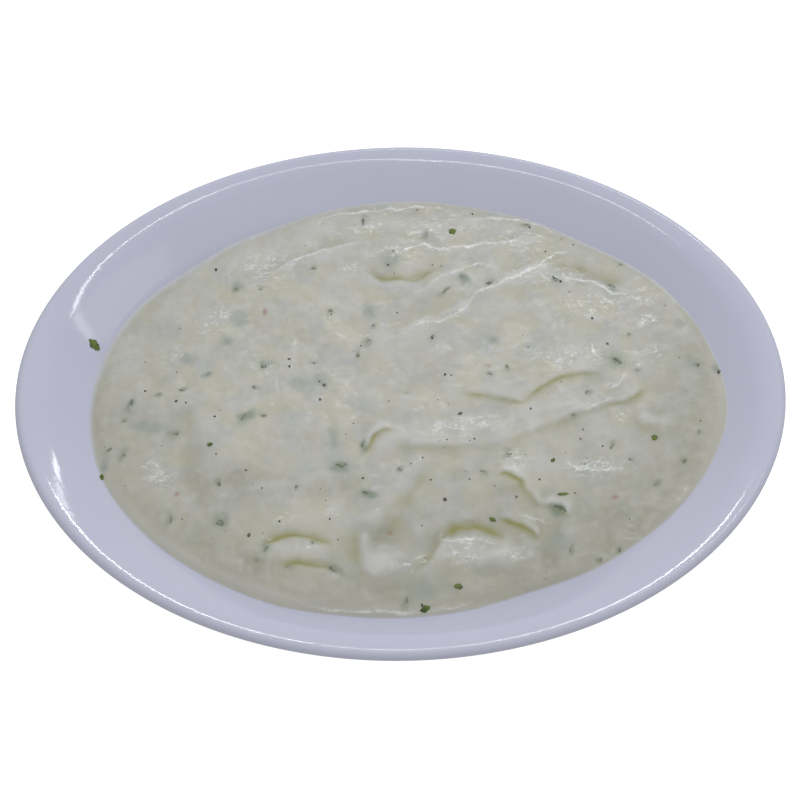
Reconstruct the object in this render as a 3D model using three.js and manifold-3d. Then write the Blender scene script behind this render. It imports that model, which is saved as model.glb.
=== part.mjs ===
// Mashed potato with chopped herbs in an oval glazed dish.
// Millimetres, +Z up. The origin is under the middle of the dish, on the
// surface that it stands on. +X runs along the dish, +Y across it.

import * as THREE from 'three';
import { mergeVertices } from 'three/addons/utils/BufferGeometryUtils.js';
import Module from 'manifold-3d';

// ---------------------------------------------------------------- dimensions

const DISH_HALF_LENGTH = 130;
const DISH_HALF_WIDTH = 95;
const DISH_HEIGHT = 34;
const DISH_SIDES = 64;
const WALL = 4.6;
const WALL_SLOPE = 31 * Math.PI / 180;
const LOWER_WALL_SLOPE = 45 * Math.PI / 180;
const LIP_WIDTH = 8.38;
const LIP_SLOPE = 10 * Math.PI / 180;
const LIP_INNER_ROUND = 20;
const LIP_ROUND = 2.7;
const LIP_SIDE = 6.2;
const LIP_UNDER_ROUND = 1.4;
const LIP_UNDERCUT = 4.6;
const KNEE_RADIUS = 105;
const KNEE_ROUND = 14;
const FLOOR_HEIGHT = 6;
const FLOOR_ROUND = 16;
const RECESS_HEIGHT = 2.2;
const FOOT_INNER = 79.5;
const FOOT_OUTER = 85.5;
const FOOT_DRAFT = 0.6;
const FOOT_ROUND = 0.8;
const FOOT_STEP = 0.7;

const MASH_GAP = 0.3;
const MASH_HALF_LENGTH = 107.8;
const MASH_HALF_WIDTH = 78.2;
const MASH_SHIFT = 1.8;
const MASH_EDGE_HEIGHT = 24.7;
const MASH_EDGE_TILT = 0.9;
const MASH_EDGE_TWIST = 0.75;
const MASH_CROWN = { middle: 1.7, front: 0.6 };
const MASH_EDGE_WIDTH = { middle: 7, front: -2.5 };
const MASH_MARGIN = 8;
const MASH_BASE = 3;
const MASH_CALM_EDGE = 6;
const MASH_WANDER = { size: 13, rise: 0.45, seed: 19 };

// Swells of the mash's edge: angle and half width in degrees, and rise.
const SWELLS = [
  { at: 55, spread: 28, rise: -3 },
  { at: 128, spread: 30, rise: -2.3 },
  { at: 172, spread: 14, rise: -0.8 },
  { at: 203, spread: 9, rise: 0.7 },
  { at: 235, spread: 26, rise: 2.2 },
  { at: 248, spread: 7, rise: 1 },
  { at: 268, spread: 7, rise: 1 },
  { at: 292, spread: 9, rise: -2.4 },
  { at: 308, spread: 12, rise: -0.6 },
  { at: 352, spread: 17, rise: 1.9 },
];

const GRID_COLUMNS = 76;
const GRID_ROWS = 56;

// Broad waves of the surface: the size of a lump and half its rise.
const WAVES = [
  { size: 26, rise: 0.5, seed: 11 },
  { size: 11, rise: 0.32, seed: 12 },
  { size: 5.5, rise: 0.16, seed: 13 },
];

// Folds that the spoon left. Each runs in a bow from one end to the other and
// is highest on its line. Its left side falls off gently, its right steeply.
const FOLD_ROUNDNESS = 1.6;
const FOLD_END_SHARE = 0.25;
const FOLDS = [
  { from: [-4, 61], to: [-49, 45], bow: -4.2, rise: 0.55, gentle: 5, steep: 1.1 },
  { from: [14, 58], to: [-10, 61], bow: -1.4, rise: 0.5, gentle: 4, steep: 1.0 },
  { from: [52, 62], to: [10, 57], bow: 1.4, rise: 0.55, gentle: 4, steep: 1.1 },
  { from: [-13, 49], to: [16, 51], bow: -6, rise: -0.5, gentle: 4, steep: 1.3 },
  { from: [27, 37], to: [-3, 24.5], bow: 1, rise: 0.6, gentle: 4.5, steep: 1.0 },
  { from: [65, 54], to: [22, 33.5], bow: -3, rise: 0.9, gentle: 4.5, steep: 1.2 },
  { from: [16, 48], to: [-3, 35.5], bow: 2, rise: 0.55, gentle: 4, steep: 1.1 },
  { from: [28, 40], to: [13, 46], bow: -4, rise: 0.5, gentle: 3.5, steep: 1.1 },
  { from: [84, 37], to: [51, 45.5], bow: -1.8, rise: 0.7, gentle: 3, steep: 1.1 },
  { from: [82, 22], to: [57, 30], bow: -1.6, rise: 0.5, gentle: 3, steep: 1.1 },
  { from: [-6, -16], to: [40, -17], bow: -2.2, rise: 0.9, gentle: 7, steep: 1.6 },
  { from: [28, -18], to: [74, -3], bow: 0, rise: 0.9, gentle: 7, steep: 1.5 },
  { from: [20, 1], to: [44, -2.5], bow: 1, rise: 0.7, gentle: 6, steep: 1.4 },
  { from: [40, -3], to: [70, 8], bow: 4.6, rise: 0.55, gentle: 5, steep: 1.3 },
  { from: [67, -4], to: [82, 4], bow: -3, rise: 0.7, gentle: 4, steep: 1.6 },
  { from: [-13, -22], to: [-1, -12], bow: 3.6, rise: 0.6, gentle: 4, steep: 1.1 },
  { from: [-11, -53], to: [8, -21], bow: 0.8, rise: 0.7, gentle: 6, steep: 4.2 },
  { from: [12, -53.5], to: [34, -53], bow: 4.4, rise: -0.7, gentle: 4, steep: 1.2 },
  { from: [13, -47], to: [32, -50], bow: 2.6, rise: 0.4, gentle: 4, steep: 2.0 },
  { from: [32, -44], to: [46, -53.5], bow: 1.6, rise: 0.7, gentle: 4, steep: 1.2 },
  { from: [31, -28.5], to: [42.5, -33.5], bow: 1.6, rise: 0.6, gentle: 4, steep: 1.1 },
  { from: [40.5, -31], to: [48, -41.5], bow: -1.6, rise: 0.5, gentle: 4, steep: 1.3 },
  { from: [46, -39], to: [57, -43.5], bow: 0.6, rise: 0.7, gentle: 4, steep: 1.4 },
  { from: [-49, -56], to: [-22, -55], bow: 4, rise: -0.6, gentle: 3, steep: 1.1 },
  { from: [-42, -62.5], to: [-18, -65], bow: 2.4, rise: -0.4, gentle: 2.5, steep: 1.0 },
  { from: [-13, -48], to: [-8, -69], bow: -1, rise: 0.5, gentle: 5, steep: 2.4 },
  { from: [16, -53], to: [3, -68], bow: 0.5, rise: 0.7, gentle: 5, steep: 1.8 },
  { from: [79, -9.5], to: [94, -12], bow: -1.6, rise: 0.6, gentle: 5, steep: 2.2 },
  { from: [-63, 18], to: [-44, 48], bow: 1.5, rise: 0.5, gentle: 7, steep: 4 },
  { from: [-70, -38], to: [-71, 0], bow: 1, rise: -0.5, gentle: 4, steep: 4 },
  { from: [49, 51], to: [80, 41], bow: 2, rise: -0.5, gentle: 2.6, steep: 2.6 },
];

// Rounded heaps between the folds, and one dip.
const HEAP_ROUNDNESS = 2.6;
const HEAPS = [
  { at: [22, -57.5], size: [10, 6], rise: 1.1 },
  { at: [36, -57], size: [8, 5.5], rise: 0.6 },
  { at: [-35, -57], size: [10, 3.6], rise: 0.7 },
  { at: [-5, -60], size: [8, 6], rise: 0.7 },
  { at: [-6, -17], size: [6, 5], rise: 0.6 },
  { at: [48, -50], size: [5, 7], rise: -0.8 },
];

// Herb flakes: place, length and width, and turn in degrees.
const FLAKE_THICKNESS = 1.5;
const FLAKE_PROUD = 0.55;
const FLAKE_TAPER = 0.45;
const FLAKE_WAVE = 0.14;
const FLAKES = [
  { at: [19.3, 64.2], size: [2.7, 2.3], turn: 30 },
  { at: [16.1, 39.7], size: [4.4, 1.2], turn: 42 },
  { at: [-100.5, -28.5], size: [2.2, 1.8], turn: 80 },
  { at: [7.2, -76.5], size: [3.4, 1.9], turn: 20 },
  { at: [18.1, -69.1], size: [2.5, 1.8], turn: -20 },
  { at: [29.9, -45.9], size: [2.3, 1.3], turn: -35 },
  { at: [85.1, -17.9], size: [2.1, 1.9], turn: 80 },
  { at: [53.8, -37.2], size: [3.8, 1], turn: 4 },
  { at: [-64.2, -17.6], size: [1.7, 1.4], turn: 0 },
  { at: [20.1, -7.8], size: [1.6, 0.8], turn: 10 },
  { at: [50.8, -25], size: [1.6, 1.2], turn: 60 },
  { at: [52, -42.7], size: [4.4, 2.8], turn: 160 },
  { at: [-59.7, -45.5], size: [3.6, 3.2], turn: 105 },
  { at: [-20.5, -26.9], size: [4.4, 2.2], turn: 170 },
  { at: [73.9, 11.2], size: [4.4, 1.9], turn: -28 },
  { at: [-93.3, -21.3], size: [4, 2], turn: 72 },
  { at: [-52.3, -7.2], size: [4.2, 1.9], turn: 32 },
  { at: [-76.5, -13.3], size: [3.2, 2.4], turn: 20 },
  { at: [-21.9, -63.5], size: [4.6, 1.5], turn: -38 },
  { at: [-11.3, -37], size: [3.6, 1.9], turn: 160 },
  { at: [-12, 69.5], size: [4.2, 1.6], turn: 80 },
  { at: [-91.8, -2.1], size: [4, 1.6], turn: 75 },
  { at: [-46.2, 12.3], size: [3.2, 2], turn: 20 },
  { at: [74.5, 40.2], size: [4, 1.6], turn: -38 },
  { at: [0.7, -74.6], size: [3.8, 1.6], turn: 70 },
  { at: [-76.7, -44.8], size: [3.4, 1.7], turn: 80 },
];
const RIM_FLAKE = { at: [-105.4, 20.9], size: [4.4, 2.7], turn: -48 };

// -------------------------------------------------------------------- solids

const wasm = await Module();
wasm.setup();

// Drops everything but position, and the triangles that merging closes up.
function closed(geometry) {
  const bare = geometry.clone();
  bare.deleteAttribute('normal');
  bare.deleteAttribute('uv');
  const merged = mergeVertices(bare, 1e-4);
  const index = merged.getIndex().array;
  const kept = [];
  for (let i = 0; i < index.length; i += 3) {
    const [a, b, c] = [index[i], index[i + 1], index[i + 2]];
    if (a !== b && b !== c && c !== a) kept.push(a, b, c);
  }
  merged.setIndex(kept);
  return merged;
}

function toManifold(geometry) {
  const merged = closed(geometry);
  return new wasm.Manifold(new wasm.Mesh({
    numProp: 3,
    vertProperties: new Float32Array(merged.getAttribute('position').array),
    triVerts: new Uint32Array(merged.getIndex().array),
  }));
}

function toGeometry(solid) {
  const mesh = solid.getMesh();
  const geometry = new THREE.BufferGeometry();
  geometry.setAttribute('position', new THREE.BufferAttribute(mesh.vertProperties, 3));
  geometry.setIndex(new THREE.BufferAttribute(mesh.triVerts, 1));
  geometry.computeVertexNormals();
  return geometry;
}

// ---------------------------------------------------------------------- dish

// Rounds each corner of an outline with an arc of its own radius. A corner is
// [radius from the axis, height, rounding, steps of the arc].
function rounded(corners) {
  const points = [];
  corners.forEach(([x, z, radius = 0, steps = 1], i) => {
    const corner = new THREE.Vector2(x, z);
    if (radius === 0) {
      points.push(corner);
      return;
    }
    const before = new THREE.Vector2(...corners[i - 1]).sub(corner).normalize();
    const after = new THREE.Vector2(...corners[i + 1]).sub(corner).normalize();
    const half = Math.acos(before.dot(after)) / 2;
    const reach = radius / Math.tan(half);
    const middle = before.clone().add(after).normalize().multiplyScalar(radius / Math.sin(half));
    const start = before.multiplyScalar(reach).sub(middle);
    const end = after.multiplyScalar(reach).sub(middle);
    const swing = start.angleTo(end) * Math.sign(start.cross(end));
    for (let step = 0; step <= steps; step += 1) {
      const spoke = start.clone().rotateAround(new THREE.Vector2(), swing * step / steps);
      points.push(spoke.add(middle).add(corner));
    }
  });
  return points;
}

// Where the sloping lip would meet its upright side if the rim weren't rounded.
function lipCornerHeight() {
  return DISH_HEIGHT + LIP_ROUND * ((1 + Math.sin(LIP_SLOPE)) / Math.cos(LIP_SLOPE) - 1);
}

// The corners of the dish's inside, from the middle of the floor to the lip.
function insideCorners() {
  const lipRadius = DISH_HALF_LENGTH - LIP_WIDTH;
  const lipHeight = lipCornerHeight() - LIP_WIDTH * Math.tan(LIP_SLOPE);
  const kneeHeight = lipHeight - (lipRadius - KNEE_RADIUS) * Math.tan(WALL_SLOPE);
  const floorRadius = KNEE_RADIUS - (kneeHeight - FLOOR_HEIGHT) / Math.tan(LOWER_WALL_SLOPE);
  return [
    [0, FLOOR_HEIGHT],
    [floorRadius, FLOOR_HEIGHT, FLOOR_ROUND, 3],
    [KNEE_RADIUS, kneeHeight, KNEE_ROUND, 2],
    [lipRadius, lipHeight, LIP_INNER_ROUND, 3],
  ];
}

// The corners of the outside, from the crest of the lip to under the middle.
function outsideCorners() {
  const [, , knee, lip] = insideCorners();
  const upper = new THREE.Vector2(Math.sin(WALL_SLOPE), -Math.cos(WALL_SLOPE)).multiplyScalar(WALL);
  const lower = new THREE.Vector2(Math.sin(LOWER_WALL_SLOPE), -Math.cos(LOWER_WALL_SLOPE))
    .multiplyScalar(WALL);
  const half = (LOWER_WALL_SLOPE - WALL_SLOPE) / 2;
  const turn = upper.clone().add(lower).setLength(WALL / Math.cos(half));
  const footTop = RECESS_HEIGHT + FOOT_STEP;
  const outerKnee = [knee[0] + turn.x, knee[1] + turn.y];
  const footRadius = outerKnee[0] - (outerKnee[1] - footTop) / Math.tan(LOWER_WALL_SLOPE);
  const underLip = DISH_HALF_LENGTH - LIP_UNDERCUT;
  const underLipHeight = lip[1] + upper.y + (underLip - lip[0] - upper.x) * Math.tan(WALL_SLOPE);
  const crest = DISH_HALF_LENGTH - LIP_ROUND;
  const beadStart = crest - LIP_ROUND * Math.sin(LIP_SLOPE);
  const beadHeight = lipCornerHeight() - (DISH_HALF_LENGTH - beadStart) * Math.tan(LIP_SLOPE);
  return [
    [beadStart, beadHeight],
    [crest, DISH_HEIGHT],
    [DISH_HALF_LENGTH, DISH_HEIGHT, LIP_ROUND, 4],
    [DISH_HALF_LENGTH, DISH_HEIGHT - LIP_SIDE, LIP_UNDER_ROUND, 2],
    [underLip, underLipHeight],
    [...outerKnee, KNEE_ROUND, 2],
    [footRadius, footTop, FOOT_ROUND, 1],
    [FOOT_OUTER + FOOT_DRAFT, footTop],
    [FOOT_OUTER, 0, FOOT_ROUND, 1],
    [FOOT_INNER, 0, FOOT_ROUND, 1],
    [FOOT_INNER - FOOT_DRAFT, RECESS_HEIGHT],
    [0, RECESS_HEIGHT],
  ];
}

// Turns an outline about the axis and narrows it across to the dish's oval.
function oval(points) {
  const turned = new THREE.LatheGeometry(points, DISH_SIDES);
  turned.rotateX(Math.PI / 2);
  turned.scale(1, DISH_HALF_WIDTH / DISH_HALF_LENGTH, 1);
  return turned;
}

// Distance from the dish's axis, in widths of the oval, as along +X.
function ovalRadius(x, y) {
  return Math.hypot(x, y * DISH_HALF_LENGTH / DISH_HALF_WIDTH);
}

function wallHeight(x, y) {
  const [, , knee] = insideCorners();
  return knee[1] + (ovalRadius(x, y) - knee[0]) * Math.tan(WALL_SLOPE);
}

// ---------------------------------------------------------------------- mash

// A number from -1 to 1 for a point of a grid, the same on every run.
function chance(column, row, seed) {
  const wave = Math.sin(column * 127.1 + row * 311.7 + seed * 74.7) * 43758.5453;
  return 2 * (wave - Math.floor(wave)) - 1;
}

function smooth(t) {
  const s = Math.min(Math.max(t, 0), 1);
  return s * s * (3 - 2 * s);
}

function wave(x, y, { size, rise, seed }) {
  const column = Math.floor(x / size);
  const row = Math.floor(y / size);
  const across = smooth(x / size - column);
  const along = smooth(y / size - row);
  const near = THREE.MathUtils.lerp(chance(column, row, seed), chance(column + 1, row, seed), across);
  const far = THREE.MathUtils.lerp(
    chance(column, row + 1, seed), chance(column + 1, row + 1, seed), across,
  );
  return rise * THREE.MathUtils.lerp(near, far, along);
}

// The height that one fold adds: a bowed line with a side that falls gently.
function fold(x, y, { from, to, bow, rise, gentle, steep }) {
  const [runX, runY] = [to[0] - from[0], to[1] - from[1]];
  const length = Math.hypot(runX, runY);
  const along = ((x - from[0]) * runX + (y - from[1]) * runY) / length;
  const share = along / length;
  if (share <= 0 || share >= 1) return 0;
  const aside = ((y - from[1]) * runX - (x - from[0]) * runY) / length;
  const lean = 4 * bow * (1 - 2 * share) / length;
  const off = (aside - 4 * bow * share * (1 - share)) / Math.hypot(1, lean);
  const width = off > 0 ? gentle : steep;
  const ends = smooth(share / FOLD_END_SHARE) * smooth((1 - share) / FOLD_END_SHARE);
  return rise * ends * Math.exp(-Math.pow(Math.abs(off) / width, FOLD_ROUNDNESS));
}

function heap(x, y, { at, size, rise }) {
  const away = Math.hypot((x - at[0]) / size[0], (y - at[1]) / size[1]);
  return rise * Math.exp(-Math.pow(away, HEAP_ROUNDNESS));
}

// The height that one swell of the edge adds in a direction from the middle.
function swell(cosine, sine, { at, spread, rise }) {
  const angle = THREE.MathUtils.radToDeg(Math.atan2(sine, cosine));
  const away = THREE.MathUtils.euclideanModulo(angle - at + 180, 360) - 180;
  return rise * Math.exp(-((away / spread) ** 2));
}

// The mash lies level, a little higher in the middle, and rounds off to where
// it meets the wall: more on the near side than on the far one.
function mashHeight(x, y) {
  const across = (x - MASH_SHIFT) / MASH_HALF_LENGTH;
  const along = y / MASH_HALF_WIDTH;
  const share = Math.hypot(across, along);
  const [cosine, sine] = share > 0 ? [across / share, along / share] : [0, 0];
  const rim = MASH_EDGE_TILT * cosine + 2 * MASH_EDGE_TWIST * cosine * sine
    + wave(60 * cosine, 60 * sine, MASH_WANDER);
  const swells = SWELLS.reduce((sum, each) => sum + swell(cosine, sine, each), 0);
  const crown = MASH_CROWN.middle - MASH_CROWN.front * sine;
  const width = MASH_EDGE_WIDTH.middle - MASH_EDGE_WIDTH.front * sine;
  const inward = (1 - share) * Math.hypot(MASH_HALF_LENGTH * cosine, MASH_HALF_WIDTH * sine);
  const round = inward > 0 ? crown * (1 - Math.exp(-inward / width)) : crown * inward / width;
  const relief = WAVES.reduce((sum, each) => sum + wave(x, y, each), 0)
    + FOLDS.reduce((sum, each) => sum + fold(x, y, each), 0)
    + HEAPS.reduce((sum, each) => sum + heap(x, y, each), 0);
  const held = Math.min(share, 1);
  return MASH_EDGE_HEIGHT + held * (rim + held * held * swells) + round
    + relief * smooth(inward / MASH_CALM_EDGE);
}

// A block whose top is the mash's surface.
function mashBlock() {
  const length = 2 * (MASH_HALF_LENGTH + MASH_MARGIN);
  const width = 2 * (MASH_HALF_WIDTH + MASH_MARGIN);
  const block = new THREE.BoxGeometry(length, width, 1, GRID_COLUMNS, GRID_ROWS, 1);
  const place = block.getAttribute('position');
  for (let i = 0; i < place.count; i += 1) {
    const top = place.getZ(i) > 0;
    place.setZ(i, top ? mashHeight(place.getX(i), place.getY(i)) : MASH_BASE);
  }
  return toManifold(block);
}

// The room inside the dish that the mash may take up.
function room() {
  const corners = insideCorners();
  const [floor, knee, lip] = corners.slice(1).map(([r, z]) => new THREE.Vector2(r, z));
  const lift = (slope) => MASH_GAP / Math.cos(slope);
  const hollow = rounded([
    [0, floor.y + MASH_GAP],
    [floor.x, floor.y + MASH_GAP, FLOOR_ROUND, 3],
    [knee.x, knee.y + lift(LOWER_WALL_SLOPE), KNEE_ROUND, 2],
    [lip.x, lip.y + lift(LOWER_WALL_SLOPE)],
    [lip.x, 2 * DISH_HEIGHT],
    [0, 2 * DISH_HEIGHT],
  ]);
  return toManifold(oval(hollow));
}

// --------------------------------------------------------------------- herbs

// A thin wavy leaf, narrower at its ends, half sunk in the surface under it.
function flake({ at: [x, y], size: [length, width], turn }, height) {
  const leaf = new THREE.BoxGeometry(length, width, FLAKE_THICKNESS, 2, 2, 1);
  const place = leaf.getAttribute('position');
  for (let i = 0; i < place.count; i += 1) {
    const end = Math.abs(2 * place.getX(i) / length);
    const ripple = Math.sin(x + 2.1 * place.getX(i) + 1.7 * place.getY(i));
    place.setY(i, place.getY(i) * (1 - FLAKE_TAPER * end * end));
    place.setZ(i, place.getZ(i) + FLAKE_WAVE * ripple);
  }
  const step = 1;
  const slopeX = (height(x + step, y) - height(x - step, y)) / (2 * step);
  const slopeY = (height(x, y + step) - height(x, y - step)) / (2 * step);
  const up = new THREE.Vector3(-slopeX, -slopeY, 1).normalize();
  leaf.rotateZ(THREE.MathUtils.degToRad(turn));
  leaf.applyQuaternion(new THREE.Quaternion().setFromUnitVectors(new THREE.Vector3(0, 0, 1), up));
  const sunk = FLAKE_PROUD - FLAKE_THICKNESS / 2;
  leaf.translate(x + up.x * sunk, y + up.y * sunk, height(x, y) + up.z * sunk);
  return toManifold(leaf);
}

// ------------------------------------------------------------------ assembly

function piece(name, solid, material) {
  const mesh = new THREE.Mesh(toGeometry(solid), material);
  mesh.name = name;
  return mesh;
}

const glaze = new THREE.MeshStandardMaterial({ color: 0xd9d9e4, roughness: 0.12, metalness: 0 });
const potato = new THREE.MeshStandardMaterial({ color: 0xe3e2cf, roughness: 0.42, metalness: 0 });

const dishOutline = rounded([...insideCorners(), ...outsideCorners()]).reverse();
const dish = toManifold(oval(dishOutline)).add(flake(RIM_FLAKE, wallHeight));
const mash = FLAKES.reduce((body, each) => body.add(flake(each, mashHeight)), mashBlock())
  .intersect(room());

const part = new THREE.Group();
part.add(piece('dish', dish, glaze), piece('mash', mash, potato));

export default part;
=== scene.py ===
"""Mashed potato with chopped herbs in an oval glazed dish: the finished looks.

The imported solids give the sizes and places. Every piece here is modelled in
millimetres, in the same frame, and scaled to metres when it is finished.
"""

import logging
import math
from dataclasses import dataclass
from enum import Enum
from typing import Callable, Mapping, Sequence

import bmesh
import bpy
import numpy as np
from mathutils import Matrix, Vector


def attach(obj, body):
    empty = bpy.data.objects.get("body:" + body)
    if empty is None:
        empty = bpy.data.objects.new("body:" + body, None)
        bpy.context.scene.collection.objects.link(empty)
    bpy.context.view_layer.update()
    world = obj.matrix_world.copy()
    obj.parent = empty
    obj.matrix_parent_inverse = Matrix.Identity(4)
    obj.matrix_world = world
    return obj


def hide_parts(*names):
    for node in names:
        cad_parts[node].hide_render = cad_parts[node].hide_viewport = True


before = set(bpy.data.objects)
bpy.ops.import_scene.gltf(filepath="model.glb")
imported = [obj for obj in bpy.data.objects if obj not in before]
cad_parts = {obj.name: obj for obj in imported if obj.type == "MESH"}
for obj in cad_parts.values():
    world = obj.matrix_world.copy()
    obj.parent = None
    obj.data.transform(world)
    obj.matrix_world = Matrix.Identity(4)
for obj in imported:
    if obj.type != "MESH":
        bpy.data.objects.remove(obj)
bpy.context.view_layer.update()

BODY = "root"
METRES = 0.001

LOG = logging.getLogger("mash_side")

Array = np.ndarray
Point = tuple[float, float]
Triple = tuple[float, float, float]
Colour = tuple[float, float, float, float]
Surface = Callable[[Array, Array], Array]
Socket = bpy.types.NodeSocket
Value = Socket | float | Sequence[float]

# Steps of the random draw along columns, rows and seeds, and its scale.
CHANCE_STEPS = (127.1, 311.7, 74.7)
CHANCE_SCALE = 43758.5453

# How far a lump may lie from its square's middle, its least width and how much
# more it may have, all over the square's side, and what is added to the seed
# for its place along, its place across and its height.
LUMP_REACH = 0.4
LUMP_WIDTH = 0.24
LUMP_EXTRA_WIDTH = 0.2
LUMP_SEEDS = (0.0, 0.3, 0.7)


class Slot(Enum):
    """The record's material slots."""

    GLAZE = "dish_glaze"
    MASH = "mash"
    HERB = "herb"
    PEPPER = "pepper"


def colour(red: int, green: int, blue: int) -> Colour:
    """Turns a display colour into the linear one that shaders take.

    Args:
        red: Red from 0 to 255.
        green: Green from 0 to 255.
        blue: Blue from 0 to 255.

    Returns:
        Linear red, green and blue, and an alpha of 1.
    """
    def decode(value: int) -> float:
        """Returns the linear share of one display value."""
        share = value / 255
        return share / 12.92 if share <= 0.04045 else ((share + 0.055) / 1.055) ** 2.4

    return decode(red), decode(green), decode(blue), 1.0


def smooth(share: Array) -> Array:
    """Returns a share eased at 0 and at 1, and held between them."""
    held = np.clip(share, 0.0, 1.0)
    return held * held * (3 - 2 * held)


def ramp(value: Array, start: float, end: float) -> Array:
    """Returns how far a value has come from start to end, eased, from 0 to 1."""
    return smooth((value - start) / (end - start))


def chance(column: Array, row: Array, seed: float) -> Array:
    """Draws a number from -1 to 1 for each point of a grid.

    Args:
        column: Column of the point.
        row: Row of the point.
        seed: Picks one of many such grids.

    Returns:
        The numbers, the same on every run.
    """
    along, across, apart = CHANCE_STEPS
    mixed = np.sin(column * along + row * across + seed * apart) * CHANCE_SCALE
    return 2 * (mixed - np.floor(mixed)) - 1


def waves(x: Array, y: Array, size: float, seed: float) -> Array:
    """Returns soft random waves from -1 to 1, of one size in millimetres."""
    column, row = np.floor(x / size), np.floor(y / size)
    across, along = smooth(x / size - column), smooth(y / size - row)
    near = chance(column, row, seed) * (1 - across) + chance(column + 1, row, seed) * across
    far = chance(column, row + 1, seed) * (1 - across) + chance(column + 1, row + 1, seed) * across
    return near * (1 - along) + far * along


def ridges(x: Array, y: Array, size: float, seed: float) -> Array:
    """Returns sharp random ridges, from 0 between them to 1 on them."""
    return (1 - np.abs(waves(x, y, size, seed))) ** 3


def lumps(x: Array, y: Array, size: float, seed: float) -> Array:
    """Adds up small round lumps, one at a random place in each square.

    Args:
        x: Places along the dish.
        y: Places across the dish.
        size: Side of a square in millimetres.
        seed: Picks one of many such patterns.

    Returns:
        Heights from 0 to about 1.
    """
    column, row = np.floor(x / size), np.floor(y / size)
    total = np.zeros_like(x)
    for step_x in (-1, 0, 1):
        for step_y in (-1, 0, 1):
            i, j = column + step_x, row + step_y
            right, back, strong = (chance(i, j, seed + step) for step in LUMP_SEEDS)
            away_x = x / size - i - 0.5 - LUMP_REACH * right
            away_y = y / size - j - 0.5 - LUMP_REACH * back
            share = 0.5 + 0.5 * strong
            width = LUMP_WIDTH + LUMP_EXTRA_WIDTH * share
            total += share * np.exp(-(away_x ** 2 + away_y ** 2) / width ** 2)
    return total


@dataclass(frozen=True)
class Pattern:
    """A random pattern.

    Attributes:
        size: Its size in millimetres.
        rise: Its height.
        seed: Picks one of many such patterns.
        draw: What draws it: waves, ridges or lumps.
    """

    size: float
    rise: float
    seed: int
    draw: Callable[[Array, Array, float, float], Array] = waves

    def height(self, x: Array, y: Array) -> Array:
        """Returns the height that the pattern adds."""
        return self.rise * self.draw(x, y, self.size, self.seed)


# The waves that shift places, each along and across the dish.
BENDS = (
    (Pattern(7.3, 1.0, 33), Pattern(7.3, 1.0, 34)),
    (Pattern(3.1, 0.4, 31), Pattern(3.1, 0.4, 32)),
)


def bent(x: Array, y: Array) -> tuple[Array, Array]:
    """Returns places shifted a little, so that straight lines wander."""
    bent_x, bent_y = x, y
    for along, across in BENDS:
        bent_x = bent_x + along.height(x, y)
        bent_y = bent_y + across.height(x, y)
    return bent_x, bent_y


# --------------------------------------------------------------------- relief


# How round a fold's crest is, and the share of its length where each end fades.
FOLD_ROUNDNESS = 1.6
FOLD_END_SHARE = 0.25

# A fold's crease, yellow and darkened with painted shade, lies this far out on its
# steep side, and is this wide to the left and right. A trough has it from its
# middle. All over the steep width.
CREASE_SHIFT = 1.2
CREASE_WIDTHS = (0.5, 1.0)
TROUGH_WIDTHS = (1.3, 0.45)
CREASE_ROUNDNESS = 1.3


@dataclass(frozen=True)
class Fold:
    """A fold that the spoon left: a bowed line, gentle on its left side.

    Attributes:
        start: Where the line starts.
        end: Where it ends.
        bow: How far its middle stands to the left of the straight line.
        rise: Height of the line above the mash round it. Below 0 it is a trough.
        gentle: Width of the side to the left.
        steep: Width of the side to the right.
        olive: How yellow and dark the crease at its foot is: a yellow tint with painted shade.
    """

    start: Point
    end: Point
    bow: float
    rise: float
    gentle: float
    steep: float
    olive: float = 0.0

    def sides(self, x: Array, y: Array) -> tuple[Array, Array]:
        """Finds how far points lie off the line.

        Args:
            x: Places along the dish.
            y: Places across the dish.

        Returns:
            The distance to the left of the line, and how much of the fold is
            left there, from 0 at its ends to 1.
        """
        run_x, run_y = self.end[0] - self.start[0], self.end[1] - self.start[1]
        length = math.hypot(run_x, run_y)
        from_x, from_y = x - self.start[0], y - self.start[1]
        share = (from_x * run_x + from_y * run_y) / length ** 2
        aside = (from_y * run_x - from_x * run_y) / length
        lean = 4 * self.bow * (1 - 2 * share) / length
        off = (aside - 4 * self.bow * share * (1 - share)) / np.hypot(1, lean)
        ends = smooth(share / FOLD_END_SHARE) * smooth((1 - share) / FOLD_END_SHARE)
        return off, ends

    def height(self, x: Array, y: Array) -> Array:
        """Returns the height that the fold adds."""
        off, ends = self.sides(x, y)
        width = np.where(off > 0, self.gentle, self.steep)
        return self.rise * ends * np.exp(-np.abs(off / width) ** FOLD_ROUNDNESS)

    def crease(self, x: Array, y: Array) -> Array:
        """Returns how strong the crease's yellow and painted shade are: at the foot, or in a trough
        all along.
        """
        off, ends = self.sides(x, y)
        raised = self.rise > 0
        off = off + (CREASE_SHIFT * self.steep if raised else 0.0)
        width = np.where(off > 0, *(CREASE_WIDTHS if raised else TROUGH_WIDTHS)) * self.steep
        return self.olive * ends * np.exp(-np.abs(off / width) ** CREASE_ROUNDNESS)


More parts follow.
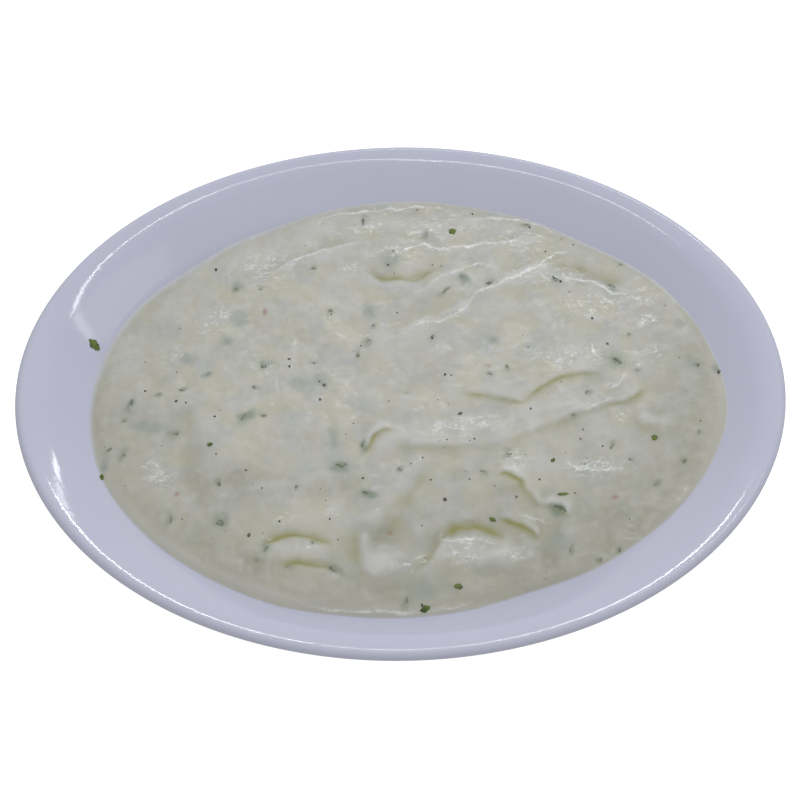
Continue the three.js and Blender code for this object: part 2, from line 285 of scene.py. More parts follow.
FOLDS = tuple(Fold(*row) for row in (
    ((-4, 61), (-49, 45), -4.2, 0.55, 5, 1.1), ((14, 58), (-10, 61), -1.4, 0.5, 4, 1.0),
    ((52, 62), (10, 57), 1.4, 0.55, 4, 1.1), ((-13, 49), (16, 51), -6, -0.5, 4, 1.3, 0.7),
    ((27, 37), (-3, 24.5), 1, 0.6, 4.5, 1.0), ((65, 54), (22, 33.5), -3, 0.9, 4.5, 1.2),
    ((16, 48), (-3, 35.5), 2, 0.55, 4, 1.1), ((28, 40), (13, 46), -4, 0.5, 3.5, 1.1),
    ((84, 37), (51, 45.5), -1.8, 0.7, 3, 1.1), ((82, 22), (57, 30), -1.6, 0.5, 3, 1.1),
    ((-6, -16), (40, -17), -2.2, 0.9, 7, 1.6, 0.25), ((28, -18), (74, -3), 0, 0.9, 7, 1.5, 0.3),
    ((20, 1), (44, -2.5), 1, 0.7, 6, 1.4, 0.6), ((40, -3), (70, 8), 4.6, 0.55, 5, 1.3, 0.8),
    ((67, -4), (82, 4), -3, 0.7, 4, 1.6, 0.65), ((-13, -22), (-1, -12), 3.6, 0.6, 4, 1.1, 0.9),
    ((-11, -53), (8, -21), 0.8, 0.7, 6, 4.2, 0.4),
    ((12, -53.5), (34, -53), 4.4, -0.7, 4, 1.2, 1.15),
    ((13, -47), (32, -50), 2.6, 0.4, 4, 2.0, 0.3), ((32, -44), (46, -53.5), 1.6, 0.7, 4, 1.2, 1.0),
    ((31, -28.5), (42.5, -33.5), 1.6, 0.6, 4, 1.1, 1.1),
    ((40.5, -31), (48, -41.5), -1.6, 0.5, 4, 1.3, 1.0),
    ((46, -39), (57, -43.5), 0.6, 0.7, 4, 1.4, 0.5), ((-49, -56), (-22, -55), 4, -0.6, 3, 1.1, 1.0),
    ((-42, -62.5), (-18, -65), 2.4, -0.4, 2.5, 1.0, 0.85),
    ((-13, -48), (-8, -69), -1, 0.5, 5, 2.4, 0.3), ((16, -53), (3, -68), 0.5, 0.7, 5, 1.8, 0.6),
    ((79, -9.5), (94, -12), -1.6, 0.6, 5, 2.2, 0.3), ((-63, 18), (-44, 48), 1.5, 0.5, 7, 4, 0.1),
    ((-70, -38), (-71, 0), 1, -0.5, 4, 4, 0.2), ((49, 51), (80, 41), 2, -0.5, 2.6, 2.6, 0.4),
))

# How far from a streak it is still felt, how far out it is looked for, and the
# share of its length where each end fades.
STREAK_REACH = 5.0
STREAK_MARGIN = 3
STREAK_END_SHARE = 0.25


@dataclass(frozen=True)
class Streak:
    """A thin edge where the wet mash stands up, with a painted highlight line along it.

    Attributes:
        share: How strong it is.
        points: Places that it runs through.
    """

    share: float
    points: tuple[Point, ...]

    def sides(self, x: Array, y: Array) -> tuple[Array, Array]:
        """Finds how far points lie off the streak.

        Args:
            x: Places along the dish.
            y: Places across the dish.

        Returns:
            The distance to the left of it, and how strong it is there.
        """
        off, share = np.full_like(x, STREAK_REACH), np.zeros_like(x)
        last = len(self.points) - 1
        for i, (start, end) in enumerate(zip(self.points, self.points[1:])):
            run_x, run_y = end[0] - start[0], end[1] - start[1]
            length = math.hypot(run_x, run_y)
            from_x, from_y = x - start[0], y - start[1]
            along = np.clip((from_x * run_x + from_y * run_y) / length ** 2, 0, 1)
            away = np.hypot(from_x - along * run_x, from_y - along * run_y)
            nearer = away < np.abs(off)
            left = np.sign(from_y * run_x - from_x * run_y)
            off[nearer] = (left * away)[nearer]
            place = (i + along[nearer]) / last
            share[nearer] = self.share * smooth(place / STREAK_END_SHARE) \
                * smooth((1 - place) / STREAK_END_SHARE)
        return off, share


STREAKS = (
    Streak(0.7, ((-33, 69), (-24, 72), (-14, 74), (-3, 75), (7, 75), (15, 74), (21, 72))),
    Streak(0.5, ((-46, 46), (-40, 52), (-36, 54), (-24, 59), (-12, 61))),
    Streak(0.95, ((-8, 54), (-1, 55), (2, 57), (9, 59), (14, 57), (25, 57), (38, 59), (43, 61),
                  (54, 62))),
    Streak(0.9, ((21, 33), (27, 38), (35, 42), (41, 45), (50, 49), (52, 52), (56, 55), (63, 55))),
    Streak(0.6, ((-2, 22), (1, 24), (8, 27), (14, 28), (20, 31), (23, 33), (27, 38))),
    Streak(0.7, ((55, 46), (62, 44), (68, 43), (74, 38), (81, 37))),
    Streak(0.7, ((66, 19), (67, 15), (69, 11))),
    Streak(0.7, ((70, 1), (74, 3), (77, 7))),
    Streak(0.6, ((21, 69), (29, 70), (38, 70), (48, 67), (53, 65), (59, 61))),
    Streak(0.5, ((10, 43), (14, 45), (22, 49), (29, 51), (33, 49), (36, 47))),
    Streak(0.3, ((-23, 25), (-20, 22), (-16, 18))),
    Streak(0.5, ((62, -8), (68, -5), (72, -3))),
    Streak(0.6, ((12, -53), (16, -54), (24, -53), (32, -55))),
    Streak(0.3, ((6, -14), (17, -10), (27, -10), (37, -8))),
    Streak(0.4, ((36, -44), (42, -46), (47, -47), (52, -47))),
    Streak(0.4, ((52, -28), (63, -28), (75, -28))),
    Streak(0.5, ((-42, -72), (-30, -75.3), (-20, -76.5), (-11, -77.2), (-1, -77.7), (9, -77.6),
                 (18, -76.3), (28, -73.6))),
)


def nearest_streak(x: Array, y: Array) -> tuple[Array, Array]:
    """Returns the distance to the nearest streak, and how strong it is there."""
    off, share = np.full_like(x, STREAK_REACH), np.zeros_like(x)
    for streak in STREAKS:
        low_x, low_y = np.min(streak.points, axis=0) - STREAK_MARGIN
        high_x, high_y = np.max(streak.points, axis=0) + STREAK_MARGIN
        near = (x > low_x) & (x < high_x) & (y > low_y) & (y < high_y)
        away, strength = streak.sides(x[near], y[near])
        nearer = np.abs(away) < np.abs(off[near])
        off[near] = np.where(nearer, away, off[near])
        share[near] = np.where(nearer, strength, share[near])
    return off, share


# How flat the middle of a heap and of a spot is, and how sharply they end.
HEAP_ROUNDNESS = 2.6
SPOT_ROUNDNESS = 1.4


@dataclass(frozen=True)
class Heap:
    """A rounded heap, or with a negative rise a dip.

    Attributes:
        at: Its middle.
        size: Its half length and half width.
        rise: Its height.
    """

    at: Point
    size: Point
    rise: float

    def height(self, x: Array, y: Array) -> Array:
        """Returns the height that the heap adds."""
        away = np.hypot((x - self.at[0]) / self.size[0], (y - self.at[1]) / self.size[1])
        return self.rise * np.exp(-away ** HEAP_ROUNDNESS)


HEAPS = tuple(Heap(*row) for row in (
    ((22, -57.5), (10, 6), 1.1), ((36, -57), (8, 5.5), 0.6), ((-35, -57), (10, 3.6), 0.7),
    ((-5, -60), (8, 6), 0.7), ((-6, -17), (6, 5), 0.6), ((48, -50), (5, 7), -0.8),
))


@dataclass(frozen=True)
class Spot:
    """An oval area of the mash.

    Attributes:
        x: Place along the dish.
        y: Place across the dish.
        length: Its half length.
        width: Its half width.
        turn: How far it is turned, in degrees.
    """

    x: float
    y: float
    length: float
    width: float
    turn: float = 0.0

    def share(self, x: Array, y: Array) -> Array:
        """Returns how much inside the spot each place lies, from 0 to 1."""
        cosine, sine = math.cos(math.radians(self.turn)), math.sin(math.radians(self.turn))
        along = ((x - self.x) * cosine + (y - self.y) * sine) / self.length
        across = ((y - self.y) * cosine - (x - self.x) * sine) / self.width
        return np.exp(-(along ** 2 + across ** 2) ** SPOT_ROUNDNESS)


def shares(spots: Sequence[Spot], x: Array, y: Array) -> Array:
    """Returns how much inside any of the spots each place lies, from 0 to 1."""
    return np.clip(sum(spot.share(x, y) for spot in spots), 0, 1)


# Crumbly patches of the surface, shining with a real wet coat and painted glints.
CRUMBS = tuple(Spot(*row) for row in (
    (14, 66, 13, 5), (-14, 66, 9, 3), (44, 60, 9, 5), (48, 47, 8, 5), (60, 45.5, 5, 2.5),
    (85, 37, 6, 4), (68, 33, 10, 5), (88, 15, 4, 3), (81, 12, 4, 3), (86, 27, 4, 3),
    (-62, 33, 4, 3), (-66, 28, 4, 3), (-80, -30, 5, 3), (-84, -25, 3, 2), (-78, 17, 4, 3),
    (-18, 50, 4, 2), (-48, 52, 8, 6), (-38, -46, 4, 3), (-24, -43, 3, 3), (38, -25, 6, 4),
    (65, -28, 11, 3.5), (75, -10, 4, 2.5), (58, 13, 10, 4), (20, -58, 6, 4), (36, -58, 5, 3),
    (4, -61, 5, 3), (-4, 56, 6, 3), (22, -13, 16, 3), (95, -38, 4, 3),
))

# Leaf that lies free on the mash: place, length, width and turn.
FRESH_LEAVES = tuple(Spot(*row) for row in (
    (19.3, 64.2, 2.7, 2.3, 30), (-100.5, -28.5, 2.2, 1.8, 80), (7.2, -76.5, 3.4, 1.9, 20),
    (18.1, -69.1, 2.5, 1.8, -20), (29.9, -45.9, 2.3, 1.3, -35), (85.1, -17.9, 2.1, 1.9, 80),
    (53.8, -37.2, 3.8, 1, 4), (-64.2, -17.6, 1.7, 1.4), (20.1, -7.8, 1.6, 0.8, 10),
    (50.8, -25, 1.6, 1.2, 60),
))
RIM_LEAF = Spot(-105.4, 20.9, 4.4, 2.7, -48)

# Leaf half sunk in the mash.
DULL_LEAVES = tuple(Spot(*row) for row in (
    (16.1, 39.7, 4.4, 1.2, 42), (-91.8, -2.1, 4, 1.6, 75), (-12, 69.5, 4.2, 1.6, 80),
    (9.7, 62.6, 2.8, 1.3, 75), (22.3, 45.5, 2.4, 1.8, 100), (31.4, 43.2, 2.6, 2, 60),
    (-46.2, 12.3, 3.2, 2, 20), (-49.3, 3.9, 2.2, 1.4), (-65.9, 9.6, 2, 1.2, 20),
    (-74, 3.5, 2.6, 1.4, 20), (-10.9, 20.8, 2.4, 1.8, 50), (-14.3, 16.3, 2.8, 1.4, 75),
    (-9.1, 26.8, 1.8, 1, 40), (-24, 32.7, 2.2, 1.6, 60), (-25.8, 4, 1.8, 1.4),
    (30.8, 7.6, 2.4, 1.6), (11.3, 21.9, 1.8, 1.3, 60), (55.4, 43.7, 3.2, 1.6, -20),
    (74.5, 40.2, 4, 1.6, -38), (73.9, 11.2, 4.4, 1.9, -28), (80.9, 7.6, 1.6, 1.2),
    (102.1, 9.7, 1.8, 1.6, 70), (108.7, 7.1, 2, 1.7), (79.5, 21.6, 1.5, 1, 20),
    (37, 9.7, 1.9, 1.3, 140), (63.8, -0.5, 2.2, 1.7, 20), (-93.6, -8, 1.7, 1.2, 20),
    (-76.5, -13.3, 3.2, 2.4, 20), (-98.3, -18.6, 2.2, 1.3, 30), (-93.3, -21.3, 4, 2, 72),
    (-52.3, -7.2, 4.2, 1.9, 32), (-46.6, -6.9, 1.8, 1.1), (-76.7, -44.8, 3.4, 1.7, 80),
    (-59.7, -45.5, 3.6, 3.2, 105), (-44.9, -55.7, 2.6, 1.6, 60), (-47.5, -60, 1.6, 1.2),
    (-37.4, -62.6, 2, 1, 10), (-12.6, -19.4, 3.6, 1.6, 80), (-20.5, -26.9, 4.4, 2.2, 170),
    (-19, -25.9, 1.4, 1), (-11.3, -37, 3.6, 1.9, 160), (27.3, -29.2, 2.6, 1.4, -20),
    (-0.4, -27.7, 1.8, 1.2, -20), (-21.9, -63.5, 4.6, 1.5, -38), (0.7, -74.6, 3.8, 1.6, 70),
    (-29, -54.2, 1.8, 1.1, -20), (58.1, -9.2, 2, 1.4, 30), (70.7, -20.1, 2.4, 1.2, 60),
    (61.3, -26.8, 1.6, 1.1, 20), (100.5, -15.9, 1.5, 1.2, 30), (52, -42.7, 4.4, 2.8, 160),
    (76.9, -25.4, 1.6, 1.2), (94.2, -26.4, 2.4, 2), (55.6, -56.5, 3, 1.4, 70),
    (64.6, -60.1, 1.8, 1.3, 40), (71.1, -56.7, 1.7, 1.3, 60), (85, -34.2, 2.6, 1.4, 40),
    (35.9, -22.3, 2.6, 2), (78.1, 50.1, 1.9, 0.8), (45.4, 66.8, 2.4, 1.2),
    (-30, 50.8, 1.8, 1.3, 20), (-57.2, 42.9, 2, 1.2, 160), (-48.1, 42.7, 1.9, 1.4),
    (-61.1, -31.8, 1.5, 2.2), (-29.8, 12.9, 1.8, 1), (-82.4, 1.2, 1.8, 1.3, 30),
    (-34.8, -33.7, 1.6, 1.2, 60),
))

# Places where something deeper down shows through.
VEILS = tuple(Spot(*row) for row in (
    (-2.6, 52.5, 3.2, 3.2), (-10.1, 32.5, 2.6, 3.4), (73.1, 11.9, 4.4, 3.6, -30),
    (6.5, -70.3, 5, 3.8), (-20.5, -26.9, 3.8, 2.6), (-87.4, -10.1, 4, 2),
    (-52.3, -7.2, 3.6, 1.8, 30), (32.2, 20.5, 2.4, 1.8, -40), (-27.3, 6.2, 3, 2.4),
    (-99.4, -24.1, 1.4, 2.4), (23.5, 43.8, 2.4, 2), (52, -42.7, 2.8, 2.2, 160),
    (-10.9, -37.1, 2.8, 1.8), (100.1, 11.5, 2.6, 2.6), (108.5, 9, 1.8, 2.4),
    (-12.6, -19.4, 1.4, 2.6), (-59.7, -45.5, 2.4, 2.4), (97.1, 26.1, 2.6, 2), (-73.5, 16, 2.2, 1.8),
    (51.8, -53.6, 3, 3), (8.3, -44.9, 2, 1.8), (73.4, 41, 2.6, 1.4, -38), (-44.8, -55.3, 2, 2.4),
    (-55.9, 31.2, 2.4, 2.2, 30), (-56.9, 44, 2.2, 1.6), (-55.5, 29.9, 2.6, 3.2),
    (-59.8, 21.8, 2.4, 2.2), (-72.4, 15.1, 2.2, 2), (-34.5, 5, 2.8, 2.4), (-22.5, -15.3, 2.2, 4),
    (-84, -11.4, 5, 2.6), (-66.3, 8.9, 1.8, 1.6), (-45.9, 13.1, 2.6, 1.6),
))

# Broad patches of painted shade, darker towards the front, the sides and the front right, and how
# much.
SHADE_HEAPS = tuple(Heap(*row) for row in (
    ((58, -58), (30, 20), 0.65), ((86, -42), (24, 22), 0.4), ((-97, -6), (22, 44), 0.42),
    ((102, -10), (18, 42), 0.45), ((-66, -50), (24, 18), 0.4), ((-36, -64), (30, 13), 0.4),
    ((4, -75), (40, 12), 0.6), ((24, -50), (22, 16), 0.35), ((-52, -31), (15, 9), 0.3),
    ((-7, -53), (10, 6), 0.65), ((-17, -36), (9, 6), 0.25), ((29, -27), (9, 5), 0.2),
    ((16, -53), (8, 4), 0.8), ((51, -59), (8, 5), 0.3), ((85, -10), (7, 4), 0.3),
    ((-9, -13), (4, 3), 0.4), ((-1, -73), (7, 5), 0.35), ((-48, -61), (6, 5), 0.25),
))

# Soft patches of painted shade, and soft patches of painted light.
SHADE_SPOTS = tuple(Spot(*row) for row in (
    (-68, -28, 20, 4, -77), (-54, -29, 6, 4), (-17, -32, 6, 5), (-27, -35, 5, 3.5),
    (-4, -44, 12, 3.8, 60), (18, -30, 5, 2.6), (36, -36, 6, 3), (47.5, -39, 5, 4),
    (69, -6, 5, 2.6, 20), (88, -9, 5, 4), (67, 43, 6, 3, -15),
))
LIGHT_SPOTS = tuple(Spot(*row) for row in (
    (4, 46, 5, 3), (-38, 60, 10, 4, 25), (0, 21, 12, 8), (-20, 36, 8, 6), (34, -59, 7, 3.5),
    (-9, -61.5, 6, 4), (0, -13.4, 10, 4), (23, -11, 14, 3.6, 5), (47, -5, 10, 3, 15),
    (43, -27, 12, 4), (65, 16, 10, 5), (46, 46, 10, 4, 20), (-48, 60, 24, 6, 25), (-21, 53, 9, 5),
    (-20, 68, 12, 4), (30, 65, 14, 4), (0, 68, 10, 4), (22, 44, 9, 4), (8, 49, 6, 3),
    (-94, 16, 8, 14), (-20, 46, 6, 3), (24, 44, 8, 4), (34, 33, 8, 4), (50, -43, 5, 3),
))

# Reddish bits under the surface.
RUSTS = tuple(Spot(*row) for row in (
    (-46.8, 33.4, 0.8, 1.5), (-74.7, -35.6, 0.8, 0.8), (104.2, 24.7, 0.8, 0.8),
    (70.8, -38.7, 1.3, 0.9), (-4, -50.8, 1.0, 0.8), (30.4, 10.3, 1.1, 0.8),
))

# Grains of pepper: place and width.
GRAINS = (
    (-64.5, 51.6, 1.1), (-87, 2.8, 0.8), (-76.3, -1.1, 1), (-72.9, -1.8, 0.8), (-38.1, 14.5, 0.9),
    (-37.9, 11.6, 0.9), (-87.6, 14.5, 0.5), (-76.5, 10.1, 0.5), (-76.3, 27.5, 0.5), (7, 73.7, 0.7),
    (26.6, 71.7, 0.8), (-1.7, 56.1, 0.6), (-3.7, 50.6, 0.8), (-1.5, 47.2, 0.6), (11.9, 50.5, 0.6),
    (15.1, 49.8, 0.5), (-13.3, 19.2, 0.7), (-23.5, 31.8, 0.8), (11.3, 21.6, 0.8), (-27.5, 5.6, 0.8),
    (-25.8, 4, 1), (-27.3, -1.4, 1.1), (15.4, 7.3, 0.9), (17.5, 6.9, 0.6), (-3.9, -2.5, 0.6),
    (12.8, -2.3, 0.5), (-0.7, 31.9, 0.7), (46.8, 66.1, 0.8), (62, 59, 0.7), (52, 55.9, 0.7),
    (54.2, 44.9, 0.7), (56.6, 43.1, 0.9), (59.5, 38.8, 0.5), (66.7, 27.6, 0.9), (71.5, 18, 0.9),
    (95.9, 12.3, 0.5), (102, 9.4, 0.9), (108.8, 6.6, 0.9), (54.9, 3.8, 0.5), (44.2, 17.3, 0.5),
    (-63, -7.2, 0.9), (-61.2, -4.8, 0.5), (-62.1, -21.2, 0.7), (-80.4, -18, 0.4),
    (-51.9, -27.5, 0.7), (-46.4, -34.1, 0.6), (-50.4, -50.9, 1.2), (-40.4, -46, 0.9),
    (-72.6, -44.7, 0.5), (-15.9, -10.7, 0.6), (-18.5, -14.9, 0.5), (24.7, -17.2, 0.7),
    (23.2, -17.9, 0.5), (15.5, -17.4, 0.6), (-12.9, -31.1, 1), (3.3, -25.9, 0.6), (7.2, -23.7, 0.6),
    (22.7, -31.5, 0.6), (31, -34, 0.5), (14.3, -38.9, 1.5), (6.6, -48.1, 0.6), (7.2, -59.4, 0.5),
    (-21.1, -52.9, 0.5), (-23.8, -45.7, 0.8), (6.1, -75.2, 0.9), (-25.1, -39, 0.5),
    (9.8, -31.7, 0.7), (44.1, -6.3, 0.7), (67.7, -20.3, 0.7), (60.4, -17.5, 0.8),
    (61.4, -14.2, 0.7), (46, -32, 0.8), (38.1, -38.1, 0.8), (57.6, -36.8, 0.6), (75.2, -46.3, 0.5),
    (101.1, -11.9, 0.5),
)


@dataclass(frozen=True)
class Relief:
    """The mash's upper surface as a height over each place in the dish.

    Attributes:
        half_length: Half length of the mash at its edge.
        half_width: Half width of it.
        shift: How far it lies to the right in the dish.
        edge_height: Height at which it meets the wall.
        edge_tilt: How much higher it meets the wall at the right end.
        edge_twist: How much higher at the back right and front left.
        crown: Rise from the edge to the middle, at an end.
        crown_front: How much more of it there is at the front.
        edge_width: Width of the rounded edge, at an end.
        edge_front: How much narrower it is at the front.
        calm_edge: Width of the edge that has no folds.
        smooth_edge: Width of the edge that has no wrinkles.
        broad: The broad waves.
        fine: The wrinkles, which are longer along the dish.
        wander: How the edge's height wanders.
        wander_radius: Radius of the ring on which that is drawn.
        swells: Angle in degrees, half width and rise of each swell of the edge.
        fold_share: How much of the folds is left on the whole.
        fold_patches: How that varies.
        crease_share: How strong the creases' yellow and painted shade are on the whole.
        crease_patches: How that varies.
        squat: How much closer the wrinkles' pattern runs along the dish.
        squat_drop: How much of that is lost towards the right.
        squat_span: Where that starts and ends.
        slant: What the wrinkles' two axes take from the dish's, besides that.
        fine_shares: How much of the wrinkles there is everywhere, how much more
            at the back, and how much more in a crumbly patch.
        back_span: Where the back starts, and where all of it is reached.
        lump: The soft lumps.
        ripple: The finest waves.
        crumb_lump: The small lumps of a crumbly patch.
        crumb_stretch: How much longer those are along the dish.
        film_rise: Height of a streak's raised edge.
        film_width: Half width of it.
        ring_points: How many places a ring round a place has.
        least_share: Least distance from the middle, over the edge's, that has a way.
    """

    half_length: float = 107.8
    half_width: float = 78.2
    shift: float = 1.8
    edge_height: float = 24.7
    edge_tilt: float = 0.9
    edge_twist: float = 0.75
    crown: float = 1.7
    crown_front: float = 0.6
    edge_width: float = 7.0
    edge_front: float = 2.5
    calm_edge: float = 6.0
    smooth_edge: float = 1.5
    broad: tuple[Pattern, ...] = (Pattern(26, 0.5, 11), Pattern(11, 0.32, 12),
                                  Pattern(5.5, 0.16, 13))
    fine: tuple[Pattern, ...] = (Pattern(5.0, 0.22, 14, ridges), Pattern(2.6, 0.12, 15, ridges))
    wander: Pattern = Pattern(13, 0.45, 19)
    wander_radius: float = 60
    swells: tuple[Triple, ...] = (
        (55, 28, -3.0), (128, 30, -2.3), (172, 14, -0.8), (203, 9, 0.7), (235, 26, 2.2),
        (248, 7, 1.0), (268, 7, 1.0), (292, 9, -2.4), (308, 12, -0.6), (352, 17, 1.9),
    )
    fold_share: float = 0.9
    fold_patches: Pattern = Pattern(6.7, 0.5, 61)
    crease_share: float = 0.8
    crease_patches: Pattern = Pattern(5.3, 0.6, 62)
    squat: float = 0.85
    squat_drop: float = 0.35
    squat_span: Point = (-70, 0)
    slant: Triple = (0.15, 0.97, 0.2)
    fine_shares: Triple = (0.35, 0.2, 0.45)
    back_span: Point = (-10, 40)
    lump: Pattern = Pattern(3.4, 0.12, 43, lumps)
    ripple: Pattern = Pattern(1.6, 0.05, 17)
    crumb_lump: Pattern = Pattern(2.2, 0.14, 42, lumps)
    crumb_stretch: float = 0.7
    film_rise: float = 0.2
    film_width: float = 0.8
    ring_points: int = 8
    least_share: float = 1e-6

    def inward(self, x: Array, y: Array) -> tuple[Array, Array, Array]:
        """Finds how far inside the mash's edge points lie.

        Args:
            x: Places along the dish.
            y: Places across the dish.

        Returns:
            The distance inside the edge, and the cosine and sine of the way
            from the middle.
        """
        across, along = (x - self.shift) / self.half_length, y / self.half_width
        share = np.maximum(np.hypot(across, along), self.least_share)
        cosine, sine = across / share, along / share
        reach = np.hypot(self.half_length * cosine, self.half_width * sine)
        return (1 - share) * reach, cosine, sine

    def base(self, x: Array, y: Array) -> Array:
        """Returns the height without folds, lumps and waves."""
        inside, cosine, sine = self.inward(x, y)
        share = np.minimum(np.hypot((x - self.shift) / self.half_length, y / self.half_width), 1)
        edge = self.edge_tilt * cosine + 2 * self.edge_twist * cosine * sine \
            + self.wander.height(self.wander_radius * cosine, self.wander_radius * sine)
        angle = np.degrees(np.arctan2(sine, cosine))
        for at, spread, rise in self.swells:
            away = (angle - at + 180) % 360 - 180
            edge = edge + rise * share ** 2 * np.exp(-(away / spread) ** 2)
        crown = self.crown - self.crown_front * sine
        width = self.edge_width + self.edge_front * sine
        rounded = np.where(inside > 0, 1 - np.exp(-np.maximum(inside, 0) / width), inside / width)
        return self.edge_height + edge * share + crown * rounded

    def forms(self, x: Array, y: Array) -> Array:
        """Returns the height that the waves, the folds and the heaps add."""
        line = bent(x, y)
        share = self.fold_share + self.fold_patches.height(x, y)
        return sum(pattern.height(x, y) for pattern in self.broad) \
            + sum(fold.height(*line) for fold in FOLDS) * share \
            + sum(heap.height(x, y) for heap in HEAPS)

    def grain(self, x: Array, y: Array) -> Array:
        """Returns the height that the wrinkles, lumps and raised streaks add."""
        bent_x, bent_y = bent(x, y)
        squat = self.squat - self.squat_drop * ramp(bent_x, *self.squat_span)
        turned_x = squat * bent_x + self.slant[0] * bent_y
        turned_y = self.slant[1] * bent_y - self.slant[2] * bent_x
        crumb = shares(CRUMBS, x, y)
        everywhere, back, crumbly = self.fine_shares
        wrinkles = sum(pattern.height(turned_x, turned_y) for pattern in self.fine) \
            * (everywhere + back * ramp(y, *self.back_span) + crumbly * crumb)
        off, share = nearest_streak(bent_x, bent_y)
        return wrinkles + self.lump.height(bent_x, bent_y) \
            + self.ripple.height(turned_x, turned_y) \
            + crumb * self.crumb_lump.height(self.crumb_stretch * bent_x, bent_y) \
            + self.film_rise * share * np.exp(-(off / self.film_width) ** 2)

    def height(self, x: Array, y: Array) -> Array:
        """Returns the height of the surface with all its detail."""
        inside, _, _ = self.inward(x, y)
        return self.base(x, y) + self.forms(x, y) * smooth(inside / self.calm_edge) \
            + self.grain(x, y) * smooth(inside / self.smooth_edge)

    def lowness(self, x: Array, y: Array, radius: float) -> Array:
        """Returns how far each place lies below a ring round it, in millimetres."""
        turns = np.arange(self.ring_points) * 2 * math.pi / self.ring_points
        ring = sum(self.height(x + radius * math.cos(turn), y + radius * math.sin(turn))
                   for turn in turns)
        return ring / len(turns) - self.height(x, y)

    def crease(self, x: Array, y: Array) -> Array:
        """Returns how strong the crease's yellow and painted shade are at each place, from 0 to 1.
        """
        depth = sum(fold.crease(*bent(x, y)) for fold in FOLDS)
        return np.clip(depth * (self.crease_share + self.crease_patches.height(x, y)), 0, 1)


# ------------------------------------------------------------------ materials


# The strokes: stretch of their pattern along X, Y and Z, roughness of its noise,
# and how sharply and how far the slow wave breaks them into dashes.
STROKE_STRETCH = (0.42, 1.0, 0.0)
STROKE_ROUGHNESS = 0.6
DASH_CONTRAST = 8.0
DASH_SHARE = 0.25


class Graph:
    """A node tree, with short calls to add nodes and to join them."""

    def __init__(self, tree: bpy.types.NodeTree) -> None:
        """Takes the tree that the nodes are added to."""
        self.tree = tree

    def feed(self, target: Socket, value: Value) -> None:
        """Links a socket to an input, or sets the input to a value."""
        if isinstance(value, Socket):
            self.tree.links.new(value, target)
        else:
            target.default_value = value

    def add(
        self, kind: str, inputs: Mapping[str | int, Value] | None = None, **values: object
    ) -> bpy.types.Node:
        """Adds a node.

        Args:
            kind: Its type, without ShaderNode in front.
            inputs: What its inputs get, by name or number.
            **values: Its properties by name.

        Returns:
            The new node.
        """
        node = self.tree.nodes.new(f"ShaderNode{kind}")
        for name, value in values.items():
            setattr(node, name, value)
        for key, value in (inputs or {}).items():
            self.feed(node.inputs[key], value)
        return node

    def calculate(self, operation: str, *inputs: Value, clamp: bool = False) -> Socket:
        """Adds a math node with its inputs in order and returns its output."""
        return self.add("Math", dict(enumerate(inputs)), operation=operation,
                        use_clamp=clamp).outputs[0]

    def noise(
        self, place: Socket, size: Socket, detail: float, finer: float = 1.0,
        roughness: float = 0.5,
    ) -> Socket:
        """Adds a noise.

        Args:
            place: Where it is taken.
            size: Its size in metres.
            detail: How many finer layers it has.
            finer: How many times finer it is than the size says.
            roughness: How strong the finer layers are.

        Returns:
            The socket with the noise, from 0 to 1.
        """
        scale = self.calculate("DIVIDE", finer, size)
        return self.add("TexNoise", {"Vector": place, "Scale": scale, "Detail": detail,
                                     "Roughness": roughness}).outputs[0]


class Effect(Graph):
    """A shared node group that takes a place and some numbers.

    Attributes:
        taken: What is put in, by name.
        given: What is put out, by name.
    """

    def __init__(self, name: str, numbers: Mapping[str, float], given: Mapping[str, str]) -> None:
        """Makes the group with its sockets.

        Args:
            name: The group's name.
            numbers: The numbers that it takes, with their defaults.
            given: What it puts out, each with the kind of its socket.
        """
        super().__init__(bpy.data.node_groups.new(name, "ShaderNodeTree"))
        face = self.tree.interface
        face.new_socket("Place", in_out="INPUT", socket_type="NodeSocketVector")
        for label, default in numbers.items():
            socket = face.new_socket(label, in_out="INPUT", socket_type="NodeSocketFloat")
            socket.default_value = default
        for label, kind in given.items():
            face.new_socket(label, in_out="OUTPUT", socket_type=f"NodeSocket{kind}")
        self.taken = self.tree.nodes.new("NodeGroupInput").outputs
        self.given = self.tree.nodes.new("NodeGroupOutput").inputs


def mottle_group() -> bpy.types.NodeTree:
    """Makes the group that gives soft mottling and a bumped normal.

    Returns:
        A group that takes a place, the size of the mottling, how sharp it is,
        and the size, height and share of a fine bump, and gives a mask and a normal.
    """
    group = Effect(
        "mottle",
        {"Size": 0.01, "Contrast": 1.0, "Bump Size": 0.001, "Bump Height": 0.0001,
         "Bump Share": 1.0},
        {"Mask": "Float", "Normal": "Vector"})
    taken, given = group.taken, group.given
    noise = group.noise(taken["Place"], taken["Size"], detail=3.0)
    cloud = group.calculate("SUBTRACT", noise, 0.5)
    group.feed(given["Mask"],
               group.calculate("MULTIPLY_ADD", cloud, taken["Contrast"], 0.5, clamp=True))
    bump = group.add("Bump", {
        "Height": group.noise(taken["Place"], taken["Bump Size"], detail=2.0),
        "Distance": taken["Bump Height"],
        "Strength": taken["Bump Share"],
    })
    group.feed(given["Normal"], bump.outputs[0])
    return group.tree


